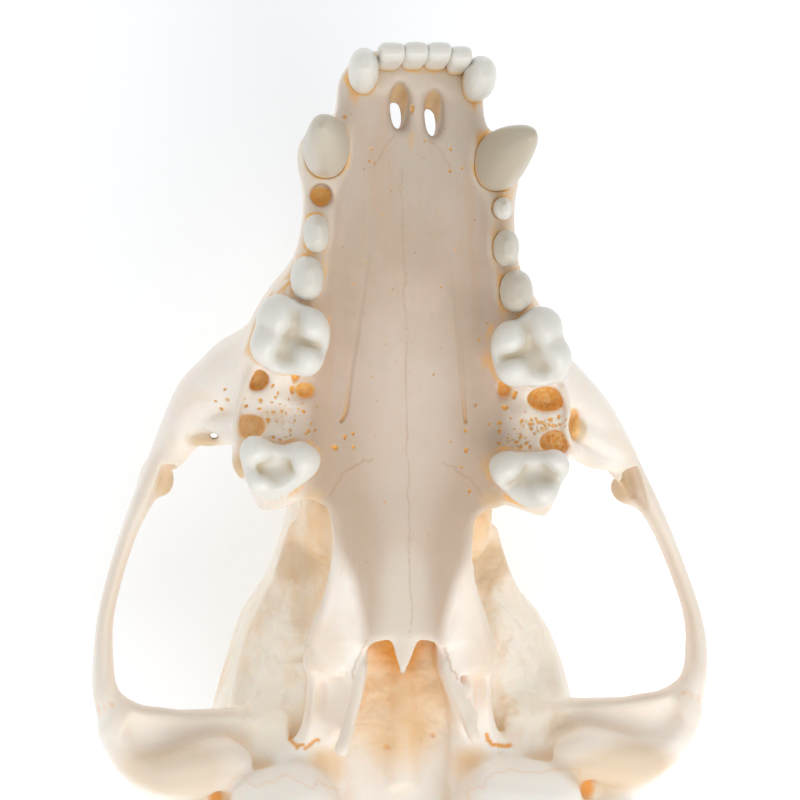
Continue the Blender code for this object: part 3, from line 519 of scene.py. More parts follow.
def cheek_tooth(outline, cusps, valleys, top):
    levels = ((37.0, 0.3), (40.0, 0.5), (43.4, 0.7), (GUM, 0.84), (46.0, 0.98),
              (top - 2.2, 1.0), (top - 1.3, 0.94), (top - 0.8, 0.7))
    adds = [column(outline, levels)]
    adds += [ball((x, y, top - 1.4), (radius * 1.05, radius * 1.15, 2.0)) for x, y, radius in cusps]
    cuts = [bar([(x, y, top + 0.9, wide * 0.9, 2 * (deep * 0.9 + 0.9)) for x, y, wide, deep in valley])
            for valley in valleys]
    return adds, cuts


# Each cheek tooth's outline, its cusps as x, y and radius, and its valleys as x, y, width and depth
FOURTH_PREMOLARS = {
    "right": (((-13.8, 29.0), (-12.2, 28.3), (-10.9, 27.5), (-9.6, 26.2), (-9.2, 24.7), (-9.5, 23.2),
               (-10.7, 21.6), (-12.6, 20.8), (-14.4, 20.6), (-16.1, 21.2), (-17.5, 23.0), (-17.5, 24.9),
               (-16.8, 27.8), (-15.4, 29.2)),
              ((-14.9, 26.9, 2.0), (-16.0, 23.8, 1.8), (-11.3, 25.8, 1.8), (-11.8, 22.5, 1.8)),
              (((-13.2, 28.6, 0.7, 0.25), (-13.1, 26.2, 0.9, 0.5), (-13.6, 24.2, 1.5, 1.1),
                (-14.3, 22.7, 2.4, 1.4), (-14.7, 21.9, 1.4, 0.9)),
               ((-13.4, 24.8, 0.6, 1.1), (-12.0, 24.2, 0.6, 1.1), (-10.1, 23.6, 0.7, 0.9)))),
    "left": (((13.5, 28.1), (15.0, 27.6), (16.4, 25.4), (17.2, 23.8), (17.6, 22.2), (17.1, 20.5),
              (15.6, 19.7), (13.7, 19.4), (11.6, 19.8), (10.2, 20.7), (9.1, 22.4), (9.0, 24.4),
              (10.0, 26.0), (11.6, 26.7)),
             ((14.6, 26.0, 2.0), (15.8, 22.8, 1.8), (11.0, 24.6, 1.8), (11.3, 21.6, 1.8)),
             (((12.5, 27.2, 0.7, 0.25), (13.0, 25.1, 0.9, 0.5), (13.3, 23.2, 1.5, 1.1),
               (14.4, 21.7, 2.4, 1.4), (14.7, 20.8, 1.4, 0.9)),
              ((13.1, 23.6, 0.6, 1.1), (11.7, 23.0, 0.6, 1.1), (9.6, 22.5, 0.7, 0.9)))),
}
SECOND_MOLARS = {
    "right": (((-18.7, 12.4), (-17.8, 13.4), (-16.4, 13.0), (-14.2, 12.6), (-11.8, 12.6), (-10.1, 11.6),
               (-10.4, 9.8), (-12.6, 7.8), (-15.0, 6.5), (-16.8, 7.0), (-18.2, 9.0), (-18.8, 11.0)),
              ((-17.1, 11.9, 1.4), (-16.6, 8.8, 1.3), (-12.2, 11.0, 1.7)),
              (((-16.6, 9.9, 1.4, 0.8), (-15.0, 9.9, 2.2, 1.2), (-13.5, 10.3, 1.5, 0.8)),)),
    "left": (((9.1, 10.8), (10.8, 11.7), (14.0, 12.0), (16.6, 11.7), (17.8, 10.6), (17.2, 8.7),
              (15.9, 6.7), (13.8, 5.7), (11.8, 6.6), (10.2, 8.3)),
             ((16.2, 10.7, 1.4), (14.9, 7.6, 1.4), (10.9, 10.1, 1.7)),
             (((16.2, 9.4, 1.3, 0.8), (14.9, 9.7, 2.2, 1.2), (13.4, 9.9, 1.5, 0.8)),
              ((12.9, 9.2, 0.8, 0.7), (11.2, 8.4, 0.9, 0.8)))),
}


def tooth_shapes():
    """Each tooth's name with the forms it is blended from and those cut out of it."""
    teeth = {
        "incisor_1_right": incisor(-0.15, 2.35), "incisor_1_left": incisor(2.4, 2.35),
        "incisor_2_right": incisor(-2.8, 2.5, 0.1), "incisor_2_left": incisor(4.8, 2.0, 0.4),
        "incisor_3_right": corner_incisor(-1, 5.75, 54.1), "incisor_3_left": corner_incisor(1, 7.1, 53.4),
        "canine_right": canine("right"), "canine_left": canine("left"),
        "premolar_1_left": premolar(10.2, 39.2, 2.0, 2.5, 47.4),
        "premolar_2_right": premolar(-10.7, 36.2, 2.8, 4.2, 48.4),
        "premolar_2_left": premolar(10.55, 34.8, 2.7, 4.1, 48.4),
        "premolar_3_right": premolar(-11.65, 31.2, 3.7, 4.9, 49.2),
        "premolar_3_left": premolar(11.7, 30.0, 3.6, 4.7, 49.2),
    }
    for side in ("right", "left"):
        teeth[f"premolar_4_{side}"] = cheek_tooth(*FOURTH_PREMOLARS[side], CROWN - 0.6)
        teeth[f"molar_2_{side}"] = cheek_tooth(*SECOND_MOLARS[side], CROWN - 1.8)
    return teeth


def dish_palate(clay):
    """The palate is a shallow trough."""
    clay.cut(trunk([
        (51, 43.8, 46.0, 3.0, 5.0), (44, 43.4, 47.0, 6.4, 7.8), (36, 42.9, 47.0, 7.8, 8.8),
        (26, 42.65, 47.0, 8.8, 9.8), (14, 42.6, 47.0, 9.0, 10.2), (8, 42.6, 47.0, 8.6, 10.0),
        (2, 42.75, 47.0, 5.6, 7.4), (-6, 42.7, 47.0, 4.6, 6.6), (-14, 42.6, 47.0, 3.4, 6.0)], 2.2, 36), 1.8)


def open_lost_teeth(clay):
    """Round the lost first molars the bone has sunk, and its outer rim stands as a thin white ridge."""
    for x, y, wide, long in ((-12.4, 18.9, 2.2, 1.7), (-15.0, 15.4, 2.6, 1.4), (11.9, 17.8, 1.5, 1.7)):
        clay.cut(straightened(ball((x, y, 44.2), (wide, long, 1.5))), 0.8)
    clay.add(straightened(bar([
        (-17.6, 20.9, 43.2, 0.9, 1.2), (-18.7, 18.2, 43.2, 0.8, 1.4), (-19.3, 15.4, 42.8, 0.7, 1.4),
        (-19.0, 13.2, 42.0, 0.7, 1.2), (-18.9, 11.4, 41.6, 0.8, 1.2)])), 0.6)
    clay.add(straightened(bar([
        (17.4, 19.3, 43.2, 0.9, 1.2), (18.2, 16.9, 43.2, 0.7, 1.3), (17.9, 14.9, 43.2, 0.7, 1.4),
        (18.4, 13.2, 42.6, 0.7, 1.3), (19.2, 12.0, 41.6, 0.9, 1.4)])), 0.8)
    clay.cut(straightened(bar([
        (19.2, 16.6, 41.6, 0.9, 1.6), (19.0, 14.8, 41.2, 1.2, 2.6), (19.0, 13.0, 41.0, 0.9, 2.0)])), 0.5)


# Broken edges: smallest and largest bite, how many, the seed and the line as x, y and z
RAGGED_RIMS = (
    (0.3, 0.6, 12, 19, ((-23.4, 14.0, 38.2), (-21.0, 12.9, 39.6), (-19.4, 11.6, 40.6))),
    (0.3, 0.6, 12, 23, ((19.6, 11.3, 39.6), (21.6, 10.3, 38.6), (24.4, 9.5, 37.2))),
    (0.3, 0.5, 9, 29, ((9.4, 8.6, 42.6), (11.2, 6.4, 42.2), (13.0, 4.9, 41.6))),
    (0.3, 0.5, 9, 31, ((-10.8, 6.2, 42.0), (-12.6, 5.6, 41.8), (-14.4, 5.3, 41.4))),
    (0.25, 0.5, 9, 37, ((10.2, -11.0, 41.6), (11.4, -12.6, 41.4), (9.4, -14.4, 41.4))),
    (0.25, 0.45, 9, 41, ((-10.0, -9.8, 41.6), (-11.4, -12.6, 41.4), (-9.4, -14.4, 41.4))),
    (0.2, 0.45, 8, 43, ((9.6, -17.0, 39.4), (10.2, -20.5, 38.0), (11.9, -22.6, 37.0))),
    (0.2, 0.45, 8, 47, ((-8.4, -17.0, 39.4), (-9.2, -21.8, 38.4), (-12.0, -23.0, 37.0))))
RAGGED_WINGS = (
    (0.35, 0.7, 14, 53, ((-11.2, -12.4, 41.0), (-9.8, -14.0, 41.0), (-8.7, -14.3, 41.0),
                         (-6.6, -13.9, 41.2))),
    (0.35, 0.7, 14, 59, ((10.9, -12.0, 41.0), (10.2, -13.4, 41.0), (8.4, -14.4, 41.0),
                         (6.8, -14.4, 41.2))),
    (0.3, 0.55, 8, 61, ((7.8, -16.4, 41.4), (8.6, -18.6, 41.4), (9.0, -21.0, 41.4))))


def roughen(clay, edges):
    """Broken or eroded edges: small bites along lines."""
    for smallest, largest, count, seed, path in edges:
        random = np.random.default_rng(seed)
        line = curve(path, 8)
        for _ in range(count):
            size = random.uniform(smallest, largest)
            place = line[int(random.integers(len(line)))] + random.uniform(-0.4, 0.4, 3)
            clay.cut(straightened(ball(place, (size, size * random.uniform(0.7, 1.4), size))), 0.3)


def open_vessel_holes(clay):
    """Holes for nerves and vessels in the orbits and the deep slots beside the ear bones."""
    both(clay, ball((11.6, -6.5, 31.0), (2.4, 0.7, 0.9)), 0.3, "cut")
    both(clay, ball((12.4, -12.8, 31.8), (2.6, 0.7, 0.8)), 0.3, "cut")
    both(clay, ball((13.0, 9.2, 34.6), (2.6, 1.2, 1.3)), 0.4, "cut")
    both(clay, ball((12.8, 5.4, 33.2), (2.2, 0.8, 0.8)), 0.3, "cut")


def fill_edges(clay):
    """Thin bone that the broad forms leave out: shelves beside the last molars and floors of troughs."""
    clay.add(straightened(bar([
        (-18.6, 13.4, 41.0, 2.2, 3.0), (-20.4, 13.2, 39.8, 2.0, 3.0), (-22.4, 12.8, 38.6, 1.8, 3.0),
        (-24.0, 13.0, 37.4, 1.4, 3.0)])), 0.8)
    clay.add(straightened(bar([
        (-18.8, 14.8, 40.8, 1.8, 2.6), (-20.6, 14.6, 39.8, 1.8, 2.6), (-22.8, 14.4, 38.6, 1.8, 2.6)])), 0.8)
    clay.cut(straightened(ball((-21.6, 13.2, 38.6), (0.6, 0.4, 5.0))), 0.2)
    clay.add(straightened(bar([
        (-18.6, 12.6, 41.4, 1.4, 2.4), (-19.0, 10.4, 41.2, 1.3, 2.6), (-18.3, 8.6, 41.0, 1.0, 2.2)])), 0.6)
    clay.add(straightened(bar([
        (18.3, 12.4, 41.0, 1.8, 3.0), (19.8, 11.6, 40.0, 2.0, 3.2), (21.8, 10.6, 38.8, 2.0, 3.4),
        (24.2, 10.2, 37.4, 1.6, 3.2)])), 0.8)
    clay.add(straightened(bar([
        (18.8, 14.6, 40.4, 1.8, 3.2), (20.6, 13.6, 39.6, 2.4, 3.2), (22.8, 12.4, 38.6, 2.4, 3.2),
        (25.0, 11.4, 37.2, 1.8, 3.0)])), 0.9)
    clay.add(straightened(bar([
        (18.0, 11.4, 41.6, 1.0, 2.4), (17.8, 9.4, 41.4, 0.9, 2.2)])), 0.5)
    both(clay, bar([
        (8.8, -12.6, 36.4, 3.0, 4.0), (9.1, -17.0, 36.0, 2.6, 3.8), (9.6, -20.0, 35.8, 2.4, 3.4),
        (10.4, -23.0, 35.4, 3.0, 3.4)]), 0.8)
    clay.add(bar([
        (6.2, -13.4, 40.2, 3.0, 2.6), (6.6, -15.4, 40.8, 3.0, 2.4), (7.3, -17.6, 41.1, 2.3, 2.2),
        (8.1, -19.8, 41.2, 1.5, 2.0)]), 0.4)
    clay.cut(slab([
        (-13.9, -9.6, -6.3, 39.6, 46), (-15.4, -9.4, -6.4, 39.2, 46), (-17.4, -9.2, -6.8, 38.6, 46),
        (-19.8, -9.5, -7.3, 37.8, 46), (-21.6, -9.6, -8.0, 37.4, 46)], 2.6, 28), 0.5)
    clay.cut(slab([
        (-14.2, 8.0, 9.6, 39.4, 46), (-16.0, 8.4, 9.6, 39.0, 46), (-18.4, 8.9, 9.8, 38.2, 46),
        (-20.8, 9.5, 10.2, 37.6, 46)], 2.6, 28), 0.5)
    roughen(clay, RAGGED_WINGS)
    both(clay, ball((21.4, -28.3, 34.2), (1.8, 1.8, 1.0)), 0.3)
    for side, roots in EMPTY_MOLAR_SOCKETS.items():
        for x, y, wide, long in roots:
            clay.add(straightened(ball((side * x, y, 40.6 - side * 0.2), (wide, long, 1.1))), 0.3)
    clay.add(straightened(ball((-10.0, 40.4, 41.2), (1.2, 1.4, 1.1))), 0.3)
    both(clay, bar([
        (8.2, -21.5, 35.2, 3.6, 3.6), (8.8, -25.0, 35.6, 5.4, 4.4), (9.2, -29.0, 36.0, 6.0, 5.0)]), 1.0)
    both(clay, ball((18.4, -26.8, 34.4), (2.4, 2.2, 2.2)), 1.0)
    both(clay, ball((7.9, -9.0, 44.6), (3.2, 5.6, 2.5)), 1.6, "cut")
    both(clay, ball((9.0, 3.4, 29.5), (2.0, 5.0, 6.5)), 2.5)


def trim_plates(clay):
    """The palate ends squarely behind the molars, and its side plates flare into thin wings."""
    clay.cut(slab([
        (5.8, -12.6, -10.0, 37.5, 48), (4.8, -12.6, -8.6, 37.0, 48), (2.0, -12.6, -8.2, 36.0, 48),
        (-1.0, -12.0, -8.3, 36.0, 48)], 4.0, 28), 0.5)
    clay.cut(slab([
        (5.4, 9.4, 12.2, 37.5, 48), (4.2, 7.9, 12.2, 37.0, 48), (1.6, 7.6, 12.2, 36.0, 48),
        (-1.0, 7.6, 12.0, 36.0, 48)], 4.0, 28), 0.5)
    clay.add(slab([
        (1.0, -8.0, -5.0, 40.8, 42.3), (-2.0, -8.5, -5.0, 40.6, 42.2), (-5.3, -9.3, -5.0, 40.3, 42.0),
        (-8.4, -10.7, -5.0, 40.1, 41.9), (-11.5, -11.3, -5.0, 40.0, 41.6), (-13.2, -10.7, -5.6, 40.0, 41.4)],
        3.0, 28), 0.5)
    clay.add(slab([
        (1.0, 5.0, 7.3, 40.8, 42.3), (-2.0, 5.0, 7.6, 40.6, 42.2), (-5.2, 5.0, 8.8, 40.3, 42.0),
        (-9.8, 5.0, 10.4, 40.1, 41.8), (-11.5, 5.0, 10.9, 40.0, 41.6), (-13.2, 5.4, 10.3, 40.0, 41.4)],
        3.0, 28), 0.5)
    clay.cut(straightened(bar([
        (-26.6, 10.0, 36.4, 1.6, 8.0), (-27.1, 7.4, 35.9, 2.0, 8.0), (-28.1, 4.8, 34.9, 1.4, 7.0)])), 0.5)
    clay.cut(straightened(bar([
        (26.0, 10.0, 36.4, 1.6, 8.0), (26.7, 7.4, 35.9, 2.2, 8.0), (27.7, 4.8, 34.9, 1.4, 7.0)])), 0.5)


def soften_throat(clay):
    """A broad low keel runs back along the throat's roof."""
    clay.add(bar([
        (0.6, -9.0, 34.4, 1.2, 0.6), (0.6, -14.6, 35.1, 1.6, 0.9), (0.6, -20.0, 35.7, 2.0, 1.0),
        (0.5, -27.0, 36.1, 2.4, 0.9)]), 1.6)
    both(clay, bar([(6.6, -18.0, 35.5, 1.2, 0.7), (6.8, -27.0, 36.2, 1.0, 0.6)]), 1.0)


def sampled(grid, low, step, points):
    """A grid's values at points, blended between its cells."""
    place = np.clip((points - low) / step, 0, np.array(grid.shape) - 1.001)
    cell = place.astype(int)
    part = place - cell
    total = 0
    for corner in range(8):
        shift = np.array([corner & 1, corner >> 1 & 1, corner >> 2 & 1])
        weight = np.where(shift, part, 1 - part).prod(1)
        total = total + weight * grid[tuple((cell + shift).T)]
    return total


def slope(clay, points):
    """Directions straight out of the surface at points near it."""
    rise = np.empty_like(points)
    for axis in range(3):
        ahead = np.zeros(3)
        ahead[axis] = clay.step * 0.75
        rise[:, axis] = (sampled(clay.values, clay.low, clay.step, points + ahead)
                         - sampled(clay.values, clay.low, clay.step, points - ahead))
    return rise / np.maximum(np.linalg.norm(rise, axis=1, keepdims=True), 1e-6)


def settled(clay, points, rounds=2, farthest=0.3):
    """Points moved onto the surface that the block holds, each round by a limited way."""
    for _ in range(rounds):
        off = np.clip(sampled(clay.values, clay.low, clay.step, points), -farthest, farthest)
        points = points - slope(clay, points) * off[:, None]
    return points


def blurred(values, cells, axes=3):
    """Values on a grid averaged twice over so many cells to each side, along its first axes."""
    for _ in range(2):
        for axis in range(axes):
            v = np.moveaxis(values, axis, 0)
            padded = np.concatenate([np.repeat(v[:1], cells + 1, 0), v, np.repeat(v[-1:], cells, 0)])
            total = np.cumsum(padded, axis=0, dtype=np.float64)
            v[:] = (total[2 * cells + 1:] - total[:-2 * cells - 1]) / (2 * cells + 1)
    return values


def fill_share(clay, every, reach):
    """How full of bone the neighbourhood of each cell is, on a coarser grid."""
    full = np.clip(0.5 - clay.values[::every, ::every, ::every] / (clay.step * every), 0, 1)
    return blurred(full, max(int(round(reach / (clay.step * every))), 1))


def wander(points, size, seed):
    """Smooth random swell over space, from about -1 to 1, with waves of a given length."""
    random = np.random.default_rng(seed)
    total = np.zeros(len(points))
    for _ in range(14):
        way = random.normal(size=3)
        way = way / np.linalg.norm(way) * 2 * math.pi / (size * random.uniform(0.6, 1.6))
        total += np.sin(points @ way + random.uniform(0, 2 * math.pi))
    return total / 4


def rising(values, low, high):
    """A share that goes evenly from 0 at a low value to 1 at a high one. With the two swapped it falls."""
    return np.clip((values - low) / (high - low), 0, 1)


def painted(points, spots):
    """A mask of spots that fade to 0 at their edges. A spot is a centre, radii and a strength."""
    mask = np.zeros(len(points))
    for x, y, z, wide, long, tall, strength in spots:
        away = np.linalg.norm((points - (x, y, z)) / (wide, long, tall), axis=1)
        mask = np.maximum(mask, strength * rising(away, 1, 0.65))
    return mask


def thinned(name, points, quads, triangles):
    """Points and triangles of a surface after the Decimate modifier."""
    mesh = bpy.data.meshes.new(name)
    mesh.from_pydata(points.tolist(), [], quads.tolist())
    whole = bpy.data.objects.new(name, mesh)
    bpy.context.scene.collection.objects.link(whole)
    fewer = whole.modifiers.new("fewer", "DECIMATE")
    fewer.ratio = min(1.0, triangles / (2 * len(quads)))
    made = whole.evaluated_get(bpy.context.evaluated_depsgraph_get()).to_mesh()
    made.calc_loop_triangles()
    corners = np.empty(len(made.vertices) * 3, np.float32)
    made.vertices.foreach_get("co", corners)
    faces = np.empty(len(made.loop_triangles) * 3, np.int32)
    made.loop_triangles.foreach_get("vertices", faces)
    bpy.data.objects.remove(whole, do_unlink=True)
    bpy.data.meshes.remove(mesh)
    return corners.reshape(-1, 3).astype(float), faces.reshape(-1, 3)


def piece(name, points, triangles, normals, look, masks):
    """A finished piece, moved into the part's frame and metres, with its masks stored on its points."""
    mesh = bpy.data.meshes.new(name)
    mesh.from_pydata(((points - MIDDLE) * METRES).tolist(), [], triangles.tolist())
    mesh.validate()
    mesh.shade_smooth()
    mesh.normals_split_custom_set_from_vertices(normals.tolist())
    for mask, values in masks.items():
        stored = mesh.attributes.new(mask, "FLOAT", "POINT")
        stored.data.foreach_set("value", np.asarray(values, np.float32))
    mesh.materials.append(look)
    made = bpy.data.objects.new(name, mesh)
    bpy.context.scene.collection.objects.link(made)
    return made


def sheet_of(places, low, high, step):
    """A sheet over X and Y, in two equal layers, that is 1 on and near round places: x, y and radius."""
    size = np.ceil((np.array(high) - low) / step).astype(int) + 1
    sheet = np.zeros(size, np.float32)
    for x, y, radius in places:
        reach = int(radius / step) + 2
        i, j = int((x - low[0]) / step), int((y - low[1]) / step)
        first, last = (max(i - reach, 0), max(j - reach, 0)), (i + reach + 1, j + reach + 1)
        part = sheet[first[0]:last[0], first[1]:last[1]]
        across, along = np.indices(part.shape)
        away = np.hypot((across + first[0]) * step + low[0] - x, (along + first[1]) * step + low[1] - y)
        np.maximum(part, np.clip((radius - away) / step + 0.5, 0, 1), out=part)
    return np.repeat(sheet[:, :, None], 2, axis=2)


def refined(points, triangles, longest, rounds=6):
    """Halves every edge that is longer than is wanted at its middle, round by round."""
    for _ in range(rounds):
        sides = np.sort(triangles[:, [0, 1, 1, 2, 2, 0]].reshape(-1, 2).astype(np.int64), axis=1)
        keys, which = np.unique(sides[:, 0] * len(points) + sides[:, 1], return_inverse=True)
        ends = np.stack([keys // len(points), keys % len(points)], axis=1)
        middles = points[ends].mean(1)
        long = np.linalg.norm(points[ends[:, 0]] - points[ends[:, 1]], axis=1) > longest(middles)
        if not long.any():
            break
        new = np.full(len(keys), -1)
        new[long] = len(points) + np.arange(long.sum())
        points = np.vstack([points, middles[long]])
        middle = new[which].reshape(-1, 3)
        halved = (middle >= 0).sum(1)
        made = [triangles[halved == 0]]
        for k in range(3):
            a, b, c = (triangles[:, (k + j) % 3] for j in range(3))
            one, two, three = (middle[:, (k + j) % 3] for j in range(3))
            only = (halved == 1) & (one >= 0)
            made.append(np.stack([a, one, c], 1)[only])
            made.append(np.stack([one, b, c], 1)[only])
            pair = (halved == 2) & (one < 0)
            made.append(np.stack([two, c, three], 1)[pair])
            made.append(np.stack([a, b, two], 1)[pair])
            made.append(np.stack([a, two, three], 1)[pair])
            made.append(np.stack([a, one, three], 1)[halved == 3])
        made.append(middle[halved == 3])
        triangles = np.vstack(made)
    return points, triangles


def corner_normals(points, triangles):
    """Directions straight out of a mesh at its points."""
    a, b, c = points[triangles[:, 0]], points[triangles[:, 1]], points[triangles[:, 2]]
    across = np.cross(b - a, c - a)
    total = np.zeros_like(points)
    for corner in range(3):
        for axis in range(3):
            total[:, axis] += np.bincount(triangles[:, corner], across[:, axis], len(points))
    return total / np.maximum(np.linalg.norm(total, axis=1, keepdims=True), 1e-9)


def network(points, spacing, seed):
    """Where points lie in a random foam of cells: 0 on a strut between cells and 1 well inside one."""
    random = np.random.default_rng(seed)
    low, high = points.min(0) - spacing, points.max(0) + spacing
    seeds = random.uniform(low, high, (int(np.prod((high - low) / spacing)), 3))
    tree = KDTree(len(seeds))
    for i, place in enumerate(seeds):
        tree.insert(place, i)
    tree.balance()
    found = np.array([[hit[2] for hit in tree.find_n(p, 2)] for p in points])
    return np.clip((found[:, 1] - found[:, 0]) / (spacing * 0.34), 0, 1)


def along(points, path, wide, jitter, seed):
    """A mask that is 1 on a wandering line over X and Y and fades to 0 at its half width."""
    random = np.random.default_rng(seed)
    line = curve(path, 10)[:, :2]
    kinks = random.normal(0, jitter, line.shape)
    line = line + (kinks + np.roll(kinks, 1, 0) + np.roll(kinks, 2, 0))
    steps = np.arange(0, len(line) - 1, 0.25)
    ends = steps.astype(int)
    line = line[ends] + (line[ends + 1] - line[ends]) * (steps - ends)[:, None]
    mask = np.zeros(len(points))
    near = ((points[:, :2] > line.min(0) - 1) & (points[:, :2] < line.max(0) + 1)).all(1)
    for start in range(0, len(line), 64):
        away = np.linalg.norm(points[near, None, :2] - line[None, start:start + 64], axis=2).min(1)
        mask[near] = np.maximum(mask[near], np.clip(1.3 - away / wide, 0, 1))
    return mask


# Holes in the bone round the lost first molars and the small holes of vessels: x, y and radius
SMALL_HOLES = (
    (-12.6, 20.1, 0.62), (-12.9, 18.6, 0.4), (-16.6, 17.4, 0.28), (-16.7, 16.4, 0.22), (-18.2, 16.7, 0.22),
    (-18.3, 17.6, 0.12), (-15.3, 17.2, 0.16), (-14.4, 17.0, 0.13), (-15.1, 16.0, 0.22), (-14.2, 16.1, 0.19),
    (-13.7, 15.9, 0.17), (-12.3, 16.5, 0.15), (-11.7, 16.2, 0.22), (-15.7, 15.1, 0.3), (-14.7, 15.0, 0.13),
    (-13.2, 14.1, 0.19), (-15.1, 13.3, 0.2), (-14.3, 13.0, 0.17), (-13.7, 13.3, 0.13), (-13.2, 13.5, 0.13),
    (-11.1, 14.0, 0.22), (-10.4, 14.1, 0.15), (-11.4, 13.7, 0.18), (-15.8, 16.0, 0.12), (-12.7, 15.2, 0.12),
    (-13.8, 16.8, 0.11), (-11.8, 17.1, 0.12), (-10.8, 14.8, 0.13), (-10.2, 16.7, 0.11), (-15.3, 19.1, 0.24),
    (-14.6, 18.3, 0.2), (-14.9, 17.8, 0.2), (-20.2, 17.3, 0.22), (-20.8, 16.2, 0.22), (-20.5, 18.5, 0.18),
    (-21.5, 17.1, 0.16), (-13.4, 17.6, 0.14), (-12.9, 14.9, 0.12), (-14.0, 14.2, 0.1), (-16.5, 15.2, 0.14),
    (10.7, 19.3, 0.42), (12.0, 18.2, 0.4), (11.0, 16.8, 0.36), (10.4, 15.0, 0.24), (10.4, 14.1, 0.24),
    (10.4, 12.7, 0.2), (10.5, 11.5, 0.15), (12.3, 12.9, 0.24), (12.7, 12.3, 0.24), (12.7, 13.5, 0.24),
    (13.4, 12.8, 0.24), (13.8, 12.4, 0.2), (9.2, 14.9, 0.15), (12.8, 15.3, 0.25), (14.7, 15.2, 0.25),
    (15.3, 15.1, 0.2), (16.0, 14.9, 0.22), (15.4, 14.3, 0.25), (17.1, 15.8, 0.25), (13.9, 15.5, 0.19),
    (13.8, 14.8, 0.14), (14.3, 13.9, 0.16), (14.7, 14.2, 0.14), (16.3, 15.5, 0.19), (17.8, 15.5, 0.14),
    (17.2, 14.9, 0.19), (11.6, 15.6, 0.13), (12.0, 14.4, 0.13), (13.2, 16.4, 0.12), (11.5, 13.4, 0.12),
    (-8.1, 12.1, 0.34), (-7.0, 13.3, 0.24), (-6.1, 13.7, 0.2), (-6.0, 12.2, 0.2), (6.6, 14.1, 0.2),
    (6.7, 11.9, 0.26), (6.2, 10.0, 0.16), (7.1, 7.3, 0.2), (0.0, 50.0, 0.26), (0.0, 50.4, 0.22),
    (-4.5, 45.6, 0.17), (-4.7, 44.3, 0.14), (-4.2, 44.1, 0.12), (4.4, 45.7, 0.16), (4.4, 43.3, 0.17),
    (1.5, 46.6, 0.15), (-7.6, 49.1, 0.2), (5.7, 43.6, 0.12), (8.0, 24.4, 0.18), (8.9, 26.2, 0.14),
    (7.7, 17.0, 0.16), (-3.0, 38.2, 0.11), (2.2, 36.4, 0.1), (-4.9, 33.0, 0.11), (3.6, 30.2, 0.12),
    (-6.2, 30.6, 0.11), (-2.6, 23.8, 0.1), (2.9, 20.4, 0.12), (-3.4, 17.4, 0.1), (4.9, 12.8, 0.12),
    (-2.4, 6.0, 0.1), (2.6, 2.2, 0.1), (-4.0, 20.1, 0.1), (5.2, 34.4, 0.1), (-1.9, 29.9, 0.1))
# Open sockets: x, y, half widths, how orange (painted light glowing through the thin bone) and how much of a
# network lies in each
OPEN_SOCKETS = (
    (-16.95, 19.7, 1.6, 1.45, 0.85, 0.5), (-17.55, 14.4, 1.95, 1.6, 0.7, 0.3),
    (-11.5, 18.5, 1.2, 1.0, 0.9, 0.4), (15.7, 17.8, 2.5, 1.65, 1.0, 0.6), (16.7, 12.9, 2.0, 1.6, 1.0, 0.8),
    (10.9, 19.0, 0.9, 1.0, 0.8, 0.2), (19.0, 14.8, 0.8, 1.9, 0.6, 0.3), (-10.0, 40.05, 1.5, 1.35, 0.9, 0.0))
# Sutures and cracks of the palate: half width, strength and the line's x and y
PALATE_LINES = (
    (0.1, 0.55, ((-1.0, 43.4), (-0.9, 40.0), (-0.6, 33.0), (-0.5, 28.8), (-0.2, 22.0), (0.0, 15.3),
                 (0.2, 9.0), (0.4, 4.1), (0.6, -3.0), (0.8, -9.5))),
    (0.12, 0.45, ((-1.9, 47.2), (-2.9, 45.8), (-4.1, 43.8))),
    (0.12, 0.45, ((2.0, 46.7), (3.2, 45.6), (4.5, 43.4))),
    (0.14, 0.6, ((-3.9, 10.9), (-5.6, 10.2), (-7.2, 9.0), (-8.7, 6.9))),
    (0.14, 0.5, ((4.2, 10.4), (5.8, 9.6), (7.4, 8.4), (8.6, 6.6))),
    (0.16, 0.5, ((-4.3, -9.7), (-4.9, -11.4), (-5.5, -12.9), (-5.9, -14.2))),
    (0.16, 0.6, ((4.7, -10.8), (5.3, -12.5), (6.2, -14.2))))
# Grooves of the palate's vessels, right and left: x, y, half width and depth
PALATE_GROOVES = (
    ((-4.6, 34.0, 0.4, 0.05), (-5.4, 27.6, 0.5, 0.12), (-6.4, 20.7, 0.5, 0.2), (-6.9, 16.4, 0.45, 0.35),
     (-7.4, 15.1, 0.32, 0.5)),
    ((4.6, 34.0, 0.4, 0.05), (5.4, 27.6, 0.5, 0.12), (6.1, 20.7, 0.5, 0.18), (6.4, 16.6, 0.42, 0.3),
     (6.6, 15.1, 0.32, 0.45)))
